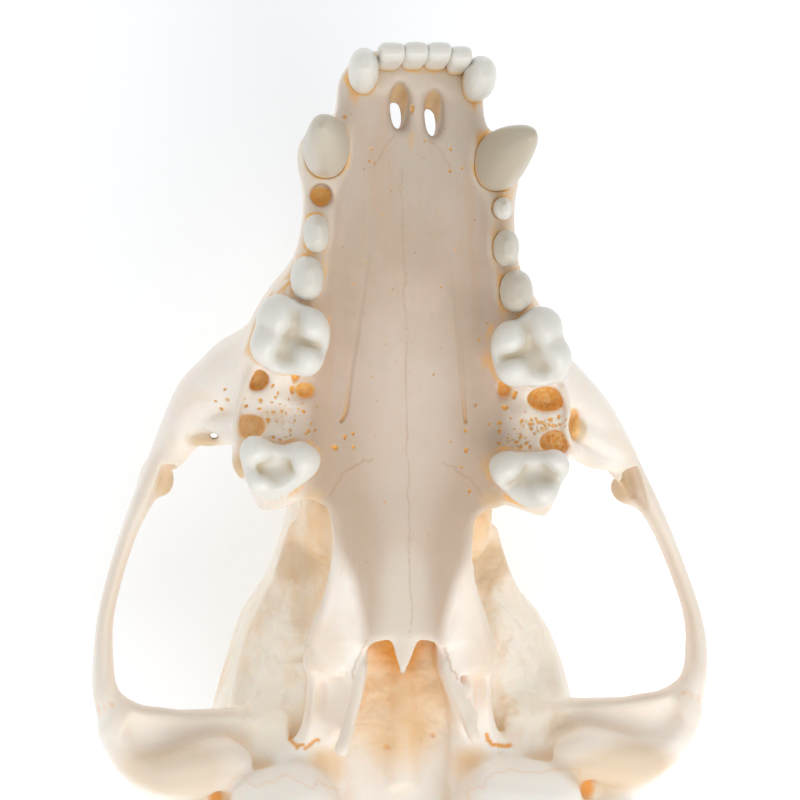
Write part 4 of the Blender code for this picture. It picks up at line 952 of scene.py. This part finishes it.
# Orange lines where the throat's plates and the ear bones meet the base, sunk a little as crevices; their
# orange is painted shade
# and light through thin bone: lowest and highest z, half width, strength and the line's x and y
REAR_LINES = (
    (33, 41, 0.24, 0.9, ((-12.4, -22.0), (-11.8, -22.6), (-11.1, -22.3))),
    (33, 41, 0.24, 0.9, ((-10.7, -22.7), (-10.2, -22.2), (-9.3, -21.6))),
    (33, 41, 0.26, 1.0, ((10.0, -21.2), (10.7, -22.2), (11.9, -22.6), (13.0, -22.6))),
    (33, 42.5, 0.12, 0.18, ((-19.9, -28.1), (-19.1, -26.3), (-18.0, -25.7), (-16.9, -26.6), (-14.3, -26.1),
                            (-12.6, -25.6), (-10.1, -26.6), (-9.5, -26.0), (-6.4, -27.5))),
    (33, 42.5, 0.12, 0.18, ((7.6, -28.1), (7.6, -27.2), (8.5, -26.6), (9.4, -26.5), (10.3, -25.2),
                            (12.4, -24.9), (16.4, -25.2), (20.2, -25.0), (20.8, -25.6), (21.4, -27.6))),
    (26, 34, 0.14, 0.4, ((-35.0, -19.0), (-34.0, -19.1), (-33.2, -18.7), (-32.4, -18.0))),
    (26, 34, 0.14, 0.4, ((33.4, -16.8), (34.4, -17.2), (35.5, -17.8))),
    (35, 37.5, 0.2, 0.5, ((-1.5, -22.8), (-1.1, -22.8))),
    (35, 37.5, 0.2, 0.5, ((3.9, -21.5), (4.3, -21.5))))
# Patches where the bone has lost more: x, y, half widths and how much of a network shows there
SPONGY_PATCHES = ((15.3, 14.9, 2.8, 1.0, 0.8), (-14.2, 15.6, 3.0, 1.4, 0.2), (12.4, 13.2, 1.6, 1.2, 0.4))
# Where the bone is painted orange or glowing, as painted light come through thin bone, or tan, as painted
# shade: x, y, z, radii and strength of each spot
SPOTS = {
    "painted_amber_glow": ((0.0, -11.0, 37.5, 4.9, 4.6, 4.4, 1), (22.0, -27.7, 33.0, 1.2, 1.8, 5.0, 1),
              (-20.8, -28.9, 33.0, 1.2, 1.4, 5.0, 1), (-18.0, -25.7, 34.0, 0.6, 0.6, 3.0, 1),
              (20.2, -24.6, 34.0, 0.6, 0.6, 3.0, 1), (7.7, 46.1, 43.6, 0.7, 1.3, 1.6, 1),
              (-8.2, 43.0, 43.4, 0.5, 0.6, 1.0, 1)),
    "glow": ((-10.2, -3.0, 33.0, 2.8, 8.0, 7.0, 1), (10.2, -3.0, 33.0, 2.8, 8.0, 7.0, 1),
             (0.0, -15.0, 35.6, 7.4, 12.0, 4.6, 1), (-8.6, 1.0, 33.0, 3.0, 8.0, 9.0, 1),
             (9.4, 1.0, 33.0, 3.0, 8.0, 9.0, 1), (-8.6, -25.0, 36.0, 3.0, 3.4, 3.0, 1),
             (8.6, -25.0, 36.0, 3.0, 3.4, 3.0, 1), (-18.8, -27.0, 34.4, 2.6, 2.6, 3.0, 1),
             (18.8, -27.0, 34.4, 2.6, 2.6, 3.0, 1), (-1.2, 51.5, 41.0, 1.5, 2.8, 2.4, 1),
             (2.4, 51.0, 41.0, 1.4, 3.0, 2.4, 1), (-11.5, 1.5, 31.0, 5.0, 4.5, 9.0, 0.6),
             (10.8, 1.5, 31.0, 4.5, 4.5, 9.0, 0.6)),
    "painted_tan_shade": ((0.0, 46.7, 43.6, 0.4, 1.2, 1.0, 1), (19.4, 14.2, 41.0, 1.4, 1.8, 1.6, 1),
            (-1.3, 52.4, 41.0, 1.5, 1.8, 2.4, 1), (2.6, 52.0, 41.0, 1.4, 1.9, 2.4, 1),
            (-26.6, 7.2, 28.0, 2.6, 3.0, 7.5, 1), (26.2, 7.2, 28.0, 2.6, 3.0, 7.5, 1),
            (-22.2, 12.7, 38.5, 3.2, 1.3, 3.0, 1), (-18.9, 9.0, 41.0, 1.0, 3.2, 3.0, 1),
            (21.6, 10.6, 38.0, 2.4, 1.0, 2.5, 1), (-10.6, 6.8, 41.8, 2.4, 1.4, 2.0, 1),
            (9.6, 6.4, 41.8, 2.2, 1.5, 2.0, 1), (25.6, -25.4, 36.0, 9.5, 4.0, 6.0, 0.8),
            (11.0, -2.8, 27.0, 3.4, 3.2, 13.0, 0.8), (-25.6, -25.4, 36.0, 9.5, 4.0, 6.0, 0.6),
            (-11.4, -2.6, 27.0, 3.2, 3.0, 13.0, 0.6), (9.6, -11.6, 41.6, 3.2, 3.6, 2.4, 0.25),
            (-9.6, -11.0, 41.6, 3.2, 3.6, 2.4, 0.25)),
}


def crown_sheet(crowns):
    """Which of the palate lies under the crowns, seen from above, blurred over their edges."""
    seen = np.vstack([points[points[:, 2] > GUM] for points in crowns])
    cells = np.unique(((seen[:, :2] - SHEET_LOW) / SHEET_STEP).round().astype(int), axis=0)
    sheet = np.zeros(SHEET_SIZE + (2,), np.float32)
    for shift_x in (-1, 0, 1):
        for shift_y in (-1, 0, 1):
            sheet[cells[:, 0] + shift_x, cells[:, 1] + shift_y] = 1
    return blurred(sheet, 1, 2)


def wanted_length(places):
    """The longest edge that the bone's mesh may have at each place: short only where there is detail."""
    real = leaning(places)
    outer = (real[:, 2] > 38.5) & (real[:, 1] > 3) & (np.abs(real[:, 0]) > 10)
    on_top = outer | (real[:, 2] > 41.2)
    rear = (real[:, 2] > 33) & (real[:, 2] < 42.5) & (real[:, 1] < -9)
    longest = np.where(on_top, 2.4, 9.0)
    for length, palate_heat, rear_heat in HEAT_SHEETS:
        hot = on_top & (sampled(palate_heat, CROWN_LOW, HEAT_STEP, real) > 0.5)
        hot |= rear & (sampled(rear_heat, CROWN_LOW, HEAT_STEP, real) > 0.5)
        longest[hot] = length
    edge = sampled(crowns_above, CROWN_LOW, SHEET_STEP, real)
    longest[(edge > 0.02) & (edge < 0.9) & (real[:, 2] > 42.3)] = FINE_EDGE
    return longest


def shape_fine_bone():
    """The broad forms, softened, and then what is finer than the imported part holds."""
    clay = Clay((-40, -60, -2), (40, 60, 52), BONE_STEP)
    for shape in (add_braincase, add_face, add_tooth_ridges, add_palate, add_pterygoids, add_cheek_arches,
                  add_jaw_joints, add_ear_bones, add_back_of_skull, add_brow_points, shape_temples,
                  cut_nose, cut_throat, cut_orbits, cut_empty_sockets):
        shape(clay)
    clay.soften(2)
    for shape in (dish_palate, open_lost_teeth, trim_plates):
        shape(clay)
    roughen(clay, RAGGED_RIMS)
    for shape in (fill_edges, open_vessel_holes, soften_throat):
        shape(clay)
    clay.soften(1)
    return clay


# Every crown stands in its socket so closely that only a thin line shows between the two
SWELL = 0.08
SOCKET_PLAY = 0.05
INCISOR_SWELL = 0.24
CROWNS = {}
bone_clay = shape_fine_bone()
for tooth_name, (adds, cuts) in tooth_shapes().items():
    clay = tooth_clay(adds, cuts)
    clay.values -= INCISOR_SWELL if "incisor" in tooth_name else SWELL
    points, quads = clay.surface()
    points, triangles = thinned(tooth_name, points, quads, TOOTH_TRIANGLES)
    CROWNS[tooth_name] = clay, settled(clay, points), triangles
    for form in adds:
        bone_clay.cut(straightened(form), 0.2, grow=SOCKET_PLAY)

SHEET_LOW = np.array((-27.0, -33.0))
SHEET_STEP = 0.1
SHEET_SIZE = (540, 930)
CROWN_LOW = np.array((*SHEET_LOW, 0.0))
HEAT_STEP = 0.2
HEAT_HIGH = np.array((27.0, 60.0))
FINE_EDGE = 0.22
crowns_above = crown_sheet([points for _, points, _ in CROWNS.values()])


def round_places(lines, reach):
    """Places along lines, each with a reach, to heat a sheet with."""
    return [(x, y, reach) for line in lines for x, y in curve(line, 8)[:, :2]]


PALATE_DETAIL = (
    [(x, y, radius + 0.3) for x, y, radius in SMALL_HOLES]
    + [(x, y, max(wide, long) + 0.3) for x, y, wide, long, _, _ in OPEN_SOCKETS]
    + [(-14.6, 15.4, 2.8), (-14.0, 18.0, 2.2), (14.4, 15.0, 3.0), (12.0, 16.4, 2.2)]
    + round_places([line for _, _, line in PALATE_LINES], 0.3) + round_places(PALATE_GROOVES, 0.6)
    + [(x, y + shift, 1.5) for x, y, _, _ in PALATE_SLITS for shift in (-1.6, 0, 1.6)])
REAR_DETAIL = round_places([line[-1] for line in REAR_LINES], 0.4)
HEAT_SHEETS = []
for length, margin in ((1.2, 1.4), (0.5, 0.5), (FINE_EDGE, 0.0)):
    HEAT_SHEETS.append((length, *[
        sheet_of([(x, y, radius + margin) for x, y, radius in detail], SHEET_LOW, HEAT_HIGH, HEAT_STEP)
        for detail in (PALATE_DETAIL, REAR_DETAIL)]))

bone_points, bone_quads = bone_clay.surface()
bone_points, bone_triangles = thinned("cranium bone", bone_points, bone_quads, BONE_TRIANGLES)
bone_points, bone_triangles = refined(settled(bone_clay, bone_points), bone_triangles, wanted_length)
bone_points = settled(bone_clay, bone_points)
bone_normals = slope(bone_clay, bone_points)
fine = wanted_length(bone_points) < 1
near_full = fill_share(bone_clay, 2, 1.2)
wide_full = fill_share(bone_clay, 3, 3.6)
# How full of bone each point's surroundings are, near and wide. The bone's colour uses these as painted
# light and shade: greyer on open, exposed bone and warm tan in nooks and hollows.
bone_masks = {
    "nook": sampled(near_full, bone_clay.low, bone_clay.step * 2, bone_points),
    "cave": sampled(wide_full, bone_clay.low, bone_clay.step * 3, bone_points),
}
bone_points = leaning(bone_points)


def small_hole_depths(points):
    """How much painted orange glow each point takes, and how deep it sinks, in the bone's small irregular
    holes.
    """
    random = np.random.default_rng(5)
    glowing, depth = np.zeros(len(points)), np.zeros(len(points))
    for x, y, radius in SMALL_HOLES:
        across, ahead = points[:, 0] - x, points[:, 1] - y
        turn = np.arctan2(ahead, across)
        rim = radius * (1 + 0.2 * np.sin(2 * turn + random.uniform(0, 6.3)) + 0.12 * np.sin(3 * turn))
        inside = np.clip((1.1 - np.hypot(across, ahead) / rim) / 0.45, 0, 1)
        glowing = np.maximum(glowing, inside)
        depth = np.maximum(depth, inside * (0.1 + radius * 0.8))
    return glowing, depth


def socket_depths(points):
    """The same in the open sockets, whose walls are a network of struts over sunken cells, painted a deeper
    orange as light glowing through the thin bone.
    """
    glowing, depth = np.zeros(len(points)), np.zeros(len(points))
    for number, (x, y, wide, long, orange, web) in enumerate(OPEN_SOCKETS):
        away = np.hypot((points[:, 0] - x) / wide, (points[:, 1] - y) / long)
        inside = np.clip((1 - away) / 0.15, 0, 1) * np.clip((43.1 - points[:, 2]) / 0.8, 0, 1)
        near = inside > 0
        cell = network(points[near], 0.55, number)
        glowing[near] = np.maximum(glowing[near], inside[near] * orange * (1 - 0.45 * web * (1 - cell)))
        depth[near] = np.maximum(depth[near], inside[near] * web * cell * 0.3)
    for number, (x, y, wide, long, share) in enumerate(SPONGY_PATCHES):
        inside = np.clip((1 - np.hypot((points[:, 0] - x) / wide, (points[:, 1] - y) / long)) / 0.3, 0, 1)
        near = (inside > 0) & (points[:, 2] > 41)
        cell = np.clip(network(points[near], 0.6, 20 + number) * 1.6 - 0.6, 0, 1)
        glowing[near] = np.maximum(glowing[near], inside[near] * cell * share)
        depth[near] = np.maximum(depth[near], inside[near] * cell * share * 0.5)
    return glowing, depth


def groove_depths(points):
    depth = np.zeros(len(points))
    for rows in PALATE_GROOVES:
        for x, y, wide, deep in curve(rows, 30):
            away = np.hypot(points[:, 0] - x, points[:, 1] - y) / wide
            near = np.clip(1 - away, 0, 1)
            depth = np.maximum(depth, deep * near ** 2 * (3 - 2 * near))
    return depth


upper = np.flatnonzero((bone_points[:, 2] > 38) & (bone_points[:, 1] > 3) | (bone_points[:, 2] > 41))
on_top = bone_points[upper]
hole_glow, hole_depth = small_hole_depths(on_top)
hole_glow[on_top[:, 2] < 40.5] = 0
socket_glow, socket_depth = socket_depths(on_top)
grooves = groove_depths(on_top)
edge = sampled(crowns_above, CROWN_LOW, SHEET_STEP, on_top)
waves = wander(on_top, 3.0, 7)
# Painted light: a bright orange line on the bone just outside each crown's edge, for light glowing through
# the crevice between crown and bone; stronger where the bone faces up.
rim_glow_start = np.where(on_top[:, 1] > 41, 0.03, 0.12)
rim_glow = np.clip((edge - rim_glow_start) / 0.25, 0, 1) * rising(on_top[:, 2], 42.4, 43.0)
rim_glow = rim_glow * np.clip(0.45 + 0.6 * waves, 0.12, 0.9) * np.clip(bone_normals[upper, 2] / 0.4, 0.15, 1)
seams = np.zeros(len(bone_points))
for number, (wide, strength, line) in enumerate(PALATE_LINES):
    seams[upper] = np.maximum(seams[upper], strength * along(on_top, line, wide, 0.05, number))
sunk = np.zeros(len(bone_points))
sunk[upper] = np.maximum(np.maximum(hole_depth, socket_depth), grooves) + 0.05 * seams[upper]
# These lines are sunk a little, and their orange is painted shade and painted light through thin bone.
amber_lines = np.zeros(len(bone_points))
for number, (lowest, highest, wide, strength, line) in enumerate(REAR_LINES):
    near = (bone_points[:, 2] > lowest) & (bone_points[:, 2] < highest)
    on_line = strength * along(bone_points[near], line, wide, 0.05, 30 + number)
    amber_lines[near] = np.maximum(amber_lines[near], on_line)
sunk += 0.15 * amber_lines

x, y, z = bone_points.T
side = np.abs(x)
for mask in ("painted_hole_glow", "rim_glow"):
    bone_masks[mask] = np.zeros(len(bone_points))
# Painted light: the holes, open sockets and deeper grooves are coloured bright orange, the light that glows
# through thin bone where they would lie in shade.
bone_masks["painted_hole_glow"][upper] = np.maximum(np.maximum(hole_glow, socket_glow), 0.6 * rising(grooves, 0.15, 0.45))
bone_masks["rim_glow"][upper] = rim_glow
bone_masks["seam"] = seams
# Painted light and shade: the amber and glow spots stand for light through thin bone, the tan spots for
# shade in hollows.
for mask, spots in SPOTS.items():
    bone_masks[mask] = painted(bone_points, spots)
bone_masks["painted_amber_glow"] = np.maximum(bone_masks["painted_amber_glow"], amber_lines)
bone_masks["pale"] = rising(y, -19, -24) * rising(side, 7, 10)
bone_masks["snout"] = rising(y, 32, 44)
bone_masks["rear"] = rising(y, 20, 6)
# Painted light: the braincase walls are coloured lighter against the shade they lie in; their warm mottling
# and lumps are the bone's own.
bone_masks["brain"] = rising(z, 37, 34) * rising(side, 22.5, 19.5) * rising(y, 15, 11) * rising(y, -27, -22)
palate_half = np.interp(y, (-12, -7, -3, 2, 8), (4.9, 5.4, 6.4, 9.6, 13.5))
palate_fade = np.interp(y, (-4, 8), (1.4, 3))
bone_masks["palate"] = (rising(z, 41.8, 42.6) * np.clip((palate_half - side) / palate_fade, 0, 1)
                        * np.interp(y, (-14, -6, 8, 24, 44, 56), (0.7, 0.95, 1.0, 1.0, 1.0, 0.85)))
bone_points = bone_points - bone_normals * sunk[:, None]
mesh_normals = corner_normals(bone_points, bone_triangles)
bone_normals = np.where((fine & (sunk > 0.01))[:, None], mesh_normals, bone_normals)


# Dry bone: satin ivory with a peach cast, pinpoint pores and fine sutures. Its tan in hollows is painted
# shade, and its orange in holes, hollows, socket rims and seams is painted light, the light that comes
# through thin walls.
def srgb(text):
    """A colour written as sRGB hex, as linear light."""
    parts = [int(text[i:i + 2], 16) / 255 for i in (1, 3, 5)]
    return (*[c / 12.92 if c <= 0.04045 else ((c + 0.055) / 1.055) ** 2.4 for c in parts], 1.0)


def node(tree, kind, inputs=None, output=0, **settings):
    """Adds a shader node and gives one of its outputs. An input is a value or another node's output."""
    made = tree.nodes.new(kind)
    for name, value in settings.items():
        setattr(made, name, value)
    for name, value in (inputs or {}).items():
        if isinstance(value, bpy.types.NodeSocket):
            tree.links.new(value, made.inputs[name])
        else:
            made.inputs[name].default_value = value
    return made.outputs[output]


# Sockets of a colour mix: its factor, the colour under, the colour over and the result
MIX_SHARE, MIX_UNDER, MIX_OVER, MIX_RESULT = 0, 6, 7, 2


def layered(tree, colour, layers):
    """Lays colours over a colour. A layer is the mask or pattern that it follows, the values at which it is
    absent and full, its strength there and its colour."""
    for follows, absent, full, strength, over in layers:
        if isinstance(follows, str):
            follows = node(tree, "ShaderNodeAttribute", output="Fac", attribute_name=follows)
        share = node(tree, "ShaderNodeMapRange", {
            "Value": follows, "From Min": absent, "From Max": full, "To Max": strength,
        }, interpolation_type="LINEAR" if (absent, full) == (0, 1) else "SMOOTHSTEP")
        over = srgb(over) if isinstance(over, str) else over
        colour = node(tree, "ShaderNodeMix", {MIX_SHARE: share, MIX_UNDER: colour, MIX_OVER: over},
                      MIX_RESULT, data_type="RGBA")
    return colour


# Patterns of bone: wave length in mm, detail, roughness, and how drawn out each is along the skull
BONE_PATTERNS = {
    "fibres": (0.8, 5.0, 0.6, 0.12), "ripples": (2.6, 2.5, 0.5, 0.1), "blotches": (5.0, 5.0, 0.55, 1.0),
    "clouds": (16.0, 4.0, 0.55, 1.0), "stains": (5.0, 4.0, 0.55, 1.0), "mottling": (4.0, 6.0, 0.6, 0.6),
    "warmth": (3.5, 5.0, 0.55, 1.0), "lumps": (6.0, 3.0, 0.55, 1.0), "grain": (1.2, 5.0, 0.55, 1.0),
}
PINPOINTS_APART = 2.3    # mm
PORES_APART = 0.9


def bone_material():
    look = bpy.data.materials.new("dry ivory bone, degreased")
    look.use_nodes = True
    tree = look.node_tree
    place = node(tree, "ShaderNodeTexCoord", output="Object")
    of_bone = {}
    for name, (size_mm, detail, rough, drawn_out) in BONE_PATTERNS.items():
        stretched = node(tree, "ShaderNodeMapping", {"Vector": place, "Scale": (1.0, drawn_out, 1.0)})
        of_bone[name] = node(tree, "ShaderNodeTexNoise", {
            "Vector": stretched, "Scale": 1000 / size_mm, "Detail": detail, "Roughness": rough})
    pinpoints, pores = (
        node(tree, "ShaderNodeTexVoronoi", {"Vector": place, "Scale": 1000 / apart_mm}, "Distance")
        for apart_mm in (PINPOINTS_APART, PORES_APART))
    palate = layered(tree, srgb("#C7B29D"), (
        (of_bone["blotches"], 0.36, 0.64, 1.0, "#CFB9A7"), ("snout", 0, 1, 0.6, "#C8BDB0"),
        ("rear", 0, 1, 0.7, "#C2AB94"), (of_bone["ripples"], 0.52, 0.7, 0.28, "#CDA784"),
        (of_bone["fibres"], 0.45, 0.7, 0.3, "#C9B196"), (pinpoints, 0.075, 0.035, 0.6, "#BE8654")))
    warm = layered(tree, srgb("#EFC893"), ((of_bone["warmth"], 0.35, 0.65, 1.0, "#F4D8B4"),))
    brain, roof = (node(tree, "ShaderNodeAttribute", output="Fac", attribute_name=mask)
                   for mask in ("brain", "palate"))
    mottled = node(tree, "ShaderNodeMapRange", {"Value": brain, "To Max": 0.42})
    surface = tree.nodes["Principled BSDF"].inputs
    # Painted light and shade in the bone's colour: the braincase lighter, open bone greyer, nooks and
    # hollows warm tan, the tan spots painted shade, and the glow, amber, hole and rim layers orange for
    # light through thin bone.
    tree.links.new(layered(tree, srgb("#F6EEE4"), (
        (of_bone["clouds"], 0.35, 0.65, 1.0, "#F3E4D5"), (of_bone["stains"], 0.5, 0.72, 0.35, "#E8D5BC"),
        ("palate", 0, 1, 1.0, palate), ("pale", 0, 1, 0.75, "#FCF6EE"), ("brain", 0, 1, 0.9, "#FFF3E4"),
        (of_bone["mottling"], 0.48, 0.7, mottled, "#EFC896"), ("nook", 0.42, 0.28, 0.6, "#DBD0C0"),
        ("nook", 0.56, 0.8, 0.5, "#EDC896"), ("cave", 0.6, 0.88, 0.5, "#F0CFA0"), ("glow", 0, 1, 0.85, warm),
        ("painted_tan_shade", 0, 1, 0.85, "#D6B98F"), ("painted_amber_glow", 0, 1, 1.0, "#F0A94C"), ("seam", 0, 1, 0.75, "#B9936A"),
        ("painted_hole_glow", 0, 1, 1.0, "#FFC664"), ("rim_glow", 0, 1, 1.0, "#EBB565"))), surface["Base Color"])
    for name, value in (("Roughness", 0.5), ("Subsurface Weight", 0.35), ("Subsurface Scale", 0.0012),
                        ("Subsurface Radius", (1.0, 0.55, 0.28))):
        surface[name].default_value = value
    dimples = node(tree, "ShaderNodeMapRange", {"Value": pores, "From Min": 0.05, "From Max": 0.25},
                   interpolation_type="SMOOTHSTEP")
    relief = {}
    for height, strength, deep_mm in ((of_bone["lumps"], brain, 2), (of_bone["ripples"], roof, 0.3),
                                      (of_bone["grain"], 0.3, 0.08), (of_bone["fibres"], 0.25, 0.06),
                                      (dimples, 0.3, 0.04)):
        relief = {"Normal": node(tree, "ShaderNodeBump", {
            "Height": height, "Strength": strength, "Distance": deep_mm * METRES, **relief})}
    tree.links.new(relief["Normal"], surface["Normal"])
    return look


bone = piece("cranium_bone", bone_points, bone_triangles, bone_normals, bone_material(), bone_masks)
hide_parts("cranium")
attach(bone, "root")


# The teeth. Each is a crown of cool, faintly greenish enamel on a yellow root, tan in the valleys of its
# crown and lighter on the crests of the cheek teeth, and each sits in a socket of the bone and can be drawn
# out of it.
GRAINS_IN_MM = 1.2


def enamel_material():
    look = bpy.data.materials.new("worn tooth enamel")
    look.use_nodes = True
    tree = look.node_tree
    surface = tree.nodes["Principled BSDF"].inputs
    tree.links.new(layered(tree, srgb("#E4E2DB"), (
        ("ivory", 0, 1, 1.0, "#BCB19D"), ("valley", 0, 1, 1.0, "#BDA473"), ("ridge", 0, 1, 1.0, "#F4F2EE"),
        ("neck", 0, 1, 1.0, "#DDB982"))), surface["Base Color"])
    for name, value in (("Roughness", 0.3), ("Subsurface Weight", 0.4), ("Subsurface Scale", 0.001),
                        ("Subsurface Radius", (0.9, 0.8, 0.6))):
        surface[name].default_value = value
    place = node(tree, "ShaderNodeTexCoord", output="Object")
    grain = node(tree, "ShaderNodeTexNoise", {"Vector": place, "Scale": GRAINS_IN_MM * 1000, "Detail": 3.0})
    bump = node(tree, "ShaderNodeBump", {"Height": grain, "Strength": 0.15, "Distance": 0.04 * METRES})
    tree.links.new(bump, surface["Normal"])
    return look


# How far each crown's enamel has yellowed
YELLOWED = {
    "canine_right": 0.85, "canine_left": 1.0, "premolar_1_left": 0.3, "premolar_2_left": 0.6,
    "premolar_3_left": 0.7, "premolar_2_right": 0.3, "premolar_3_right": 0.25, "molar_2_right": 0.15,
    "molar_2_left": 0.3, "premolar_4_left": 0.2,
}
ROUGH_CROWNS = ("premolar_4_right", "premolar_4_left", "molar_2_right", "molar_2_left")
enamel = enamel_material()
for tooth_name, (clay, points, triangles) in CROWNS.items():
    full = sampled(fill_share(clay, 1, 0.55), clay.low, clay.step, points)
    height = points[:, 2]
    above = rising(height, 46.5, 47.5)
    valley = 0.55 if "premolar_4" in tooth_name else 0.9
    ridge = 0.6 if tooth_name in ROUGH_CROWNS else 0.0
    tooth_masks = {
        "ivory": np.full(len(points), YELLOWED.get(tooth_name, 0.15)),
        "valley": rising(full, 0.49, 0.63) * above * valley,
        "ridge": rising(full, 0.42, 0.28) * above * ridge,
        "neck": rising(height, GUM + 1.3, GUM - 0.3),
    }
    crown = piece(f"{tooth_name}_crown", points, triangles, slope(clay, points), enamel, tooth_masks)
    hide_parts(tooth_name)
    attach(crown, "root")


# The white table that the skull lies on. It glows faintly, as an acrylic table lit from below does, and
# white walls and a wide soft lamp behind the skull light the rest.
bpy.ops.mesh.primitive_plane_add(size=6, location=(0, 0, 0))
floor = bpy.context.object
floor.name = "table"
paper = bpy.data.materials.new("white acrylic table")
paper.use_nodes = True
acrylic = paper.node_tree.nodes["Principled BSDF"]
acrylic.inputs["Base Color"].default_value = srgb("#F3F6F9")
acrylic.inputs["Roughness"].default_value = 0.9
acrylic.inputs["Emission Color"].default_value = (0.99, 0.995, 1.0, 1)
acrylic.inputs["Emission Strength"].default_value = 0.22
floor.data.materials.append(paper)

sky = bpy.data.worlds.new("white walls under a dim ceiling")
sky.use_nodes = True
tree = sky.node_tree
way = node(tree, "ShaderNodeTexCoord", output="Generated")
height = node(tree, "ShaderNodeSeparateXYZ", {"Vector": way}, "Z")
walls = node(tree, "ShaderNodeMapRange", {"Value": height, "From Min": 0.35, "From Max": 0.95, "To Min": 1.0,
                                          "To Max": 0.5}, interpolation_type="SMOOTHSTEP")
tree.links.new(walls, tree.nodes["Background"].inputs["Strength"])
tree.nodes["Background"].inputs["Color"].default_value = (0.98, 0.99, 1.0, 1)
bpy.context.scene.world = sky

lamp = bpy.data.lights.new("soft box", "AREA")
lamp.shape = "RECTANGLE"
lamp.size = 0.7
lamp.size_y = 0.5
lamp.energy = 2.7
box = bpy.data.objects.new("soft box", lamp)
box.location = (0.15, -0.45, 0.6)
box.rotation_euler = (Vector(box.location) - Vector((0, 0, 0.03))).to_track_quat("Z", "Y").to_euler()
bpy.context.scene.collection.objects.link(box)

# The camera stands where the photograph's did: nearly straight above, the snout at the top of the picture.
DISTANCE = 0.45
TARGET = Vector((-0.00096, 0.0176, 0.044)) - Vector(MIDDLE * METRES)
WIDTH_SEEN = 0.0896
turn = (Matrix.Rotation(math.radians(0.74), 4, "Z") @ Matrix.Rotation(math.radians(-4.88), 4, "Y")
        @ Matrix.Rotation(math.radians(-3.73), 4, "X"))
view = bpy.data.cameras.new("camera")
view.sensor_width = 36
view.lens = view.sensor_width * DISTANCE / WIDTH_SEEN
camera = bpy.data.objects.new("camera", view)
camera.matrix_world = Matrix.Translation(TARGET) @ turn @ Matrix.Translation((0, 0, DISTANCE))
bpy.context.scene.collection.objects.link(camera)
bpy.context.scene.camera = camera
bpy.context.scene.view_settings.view_transform = "Standard"
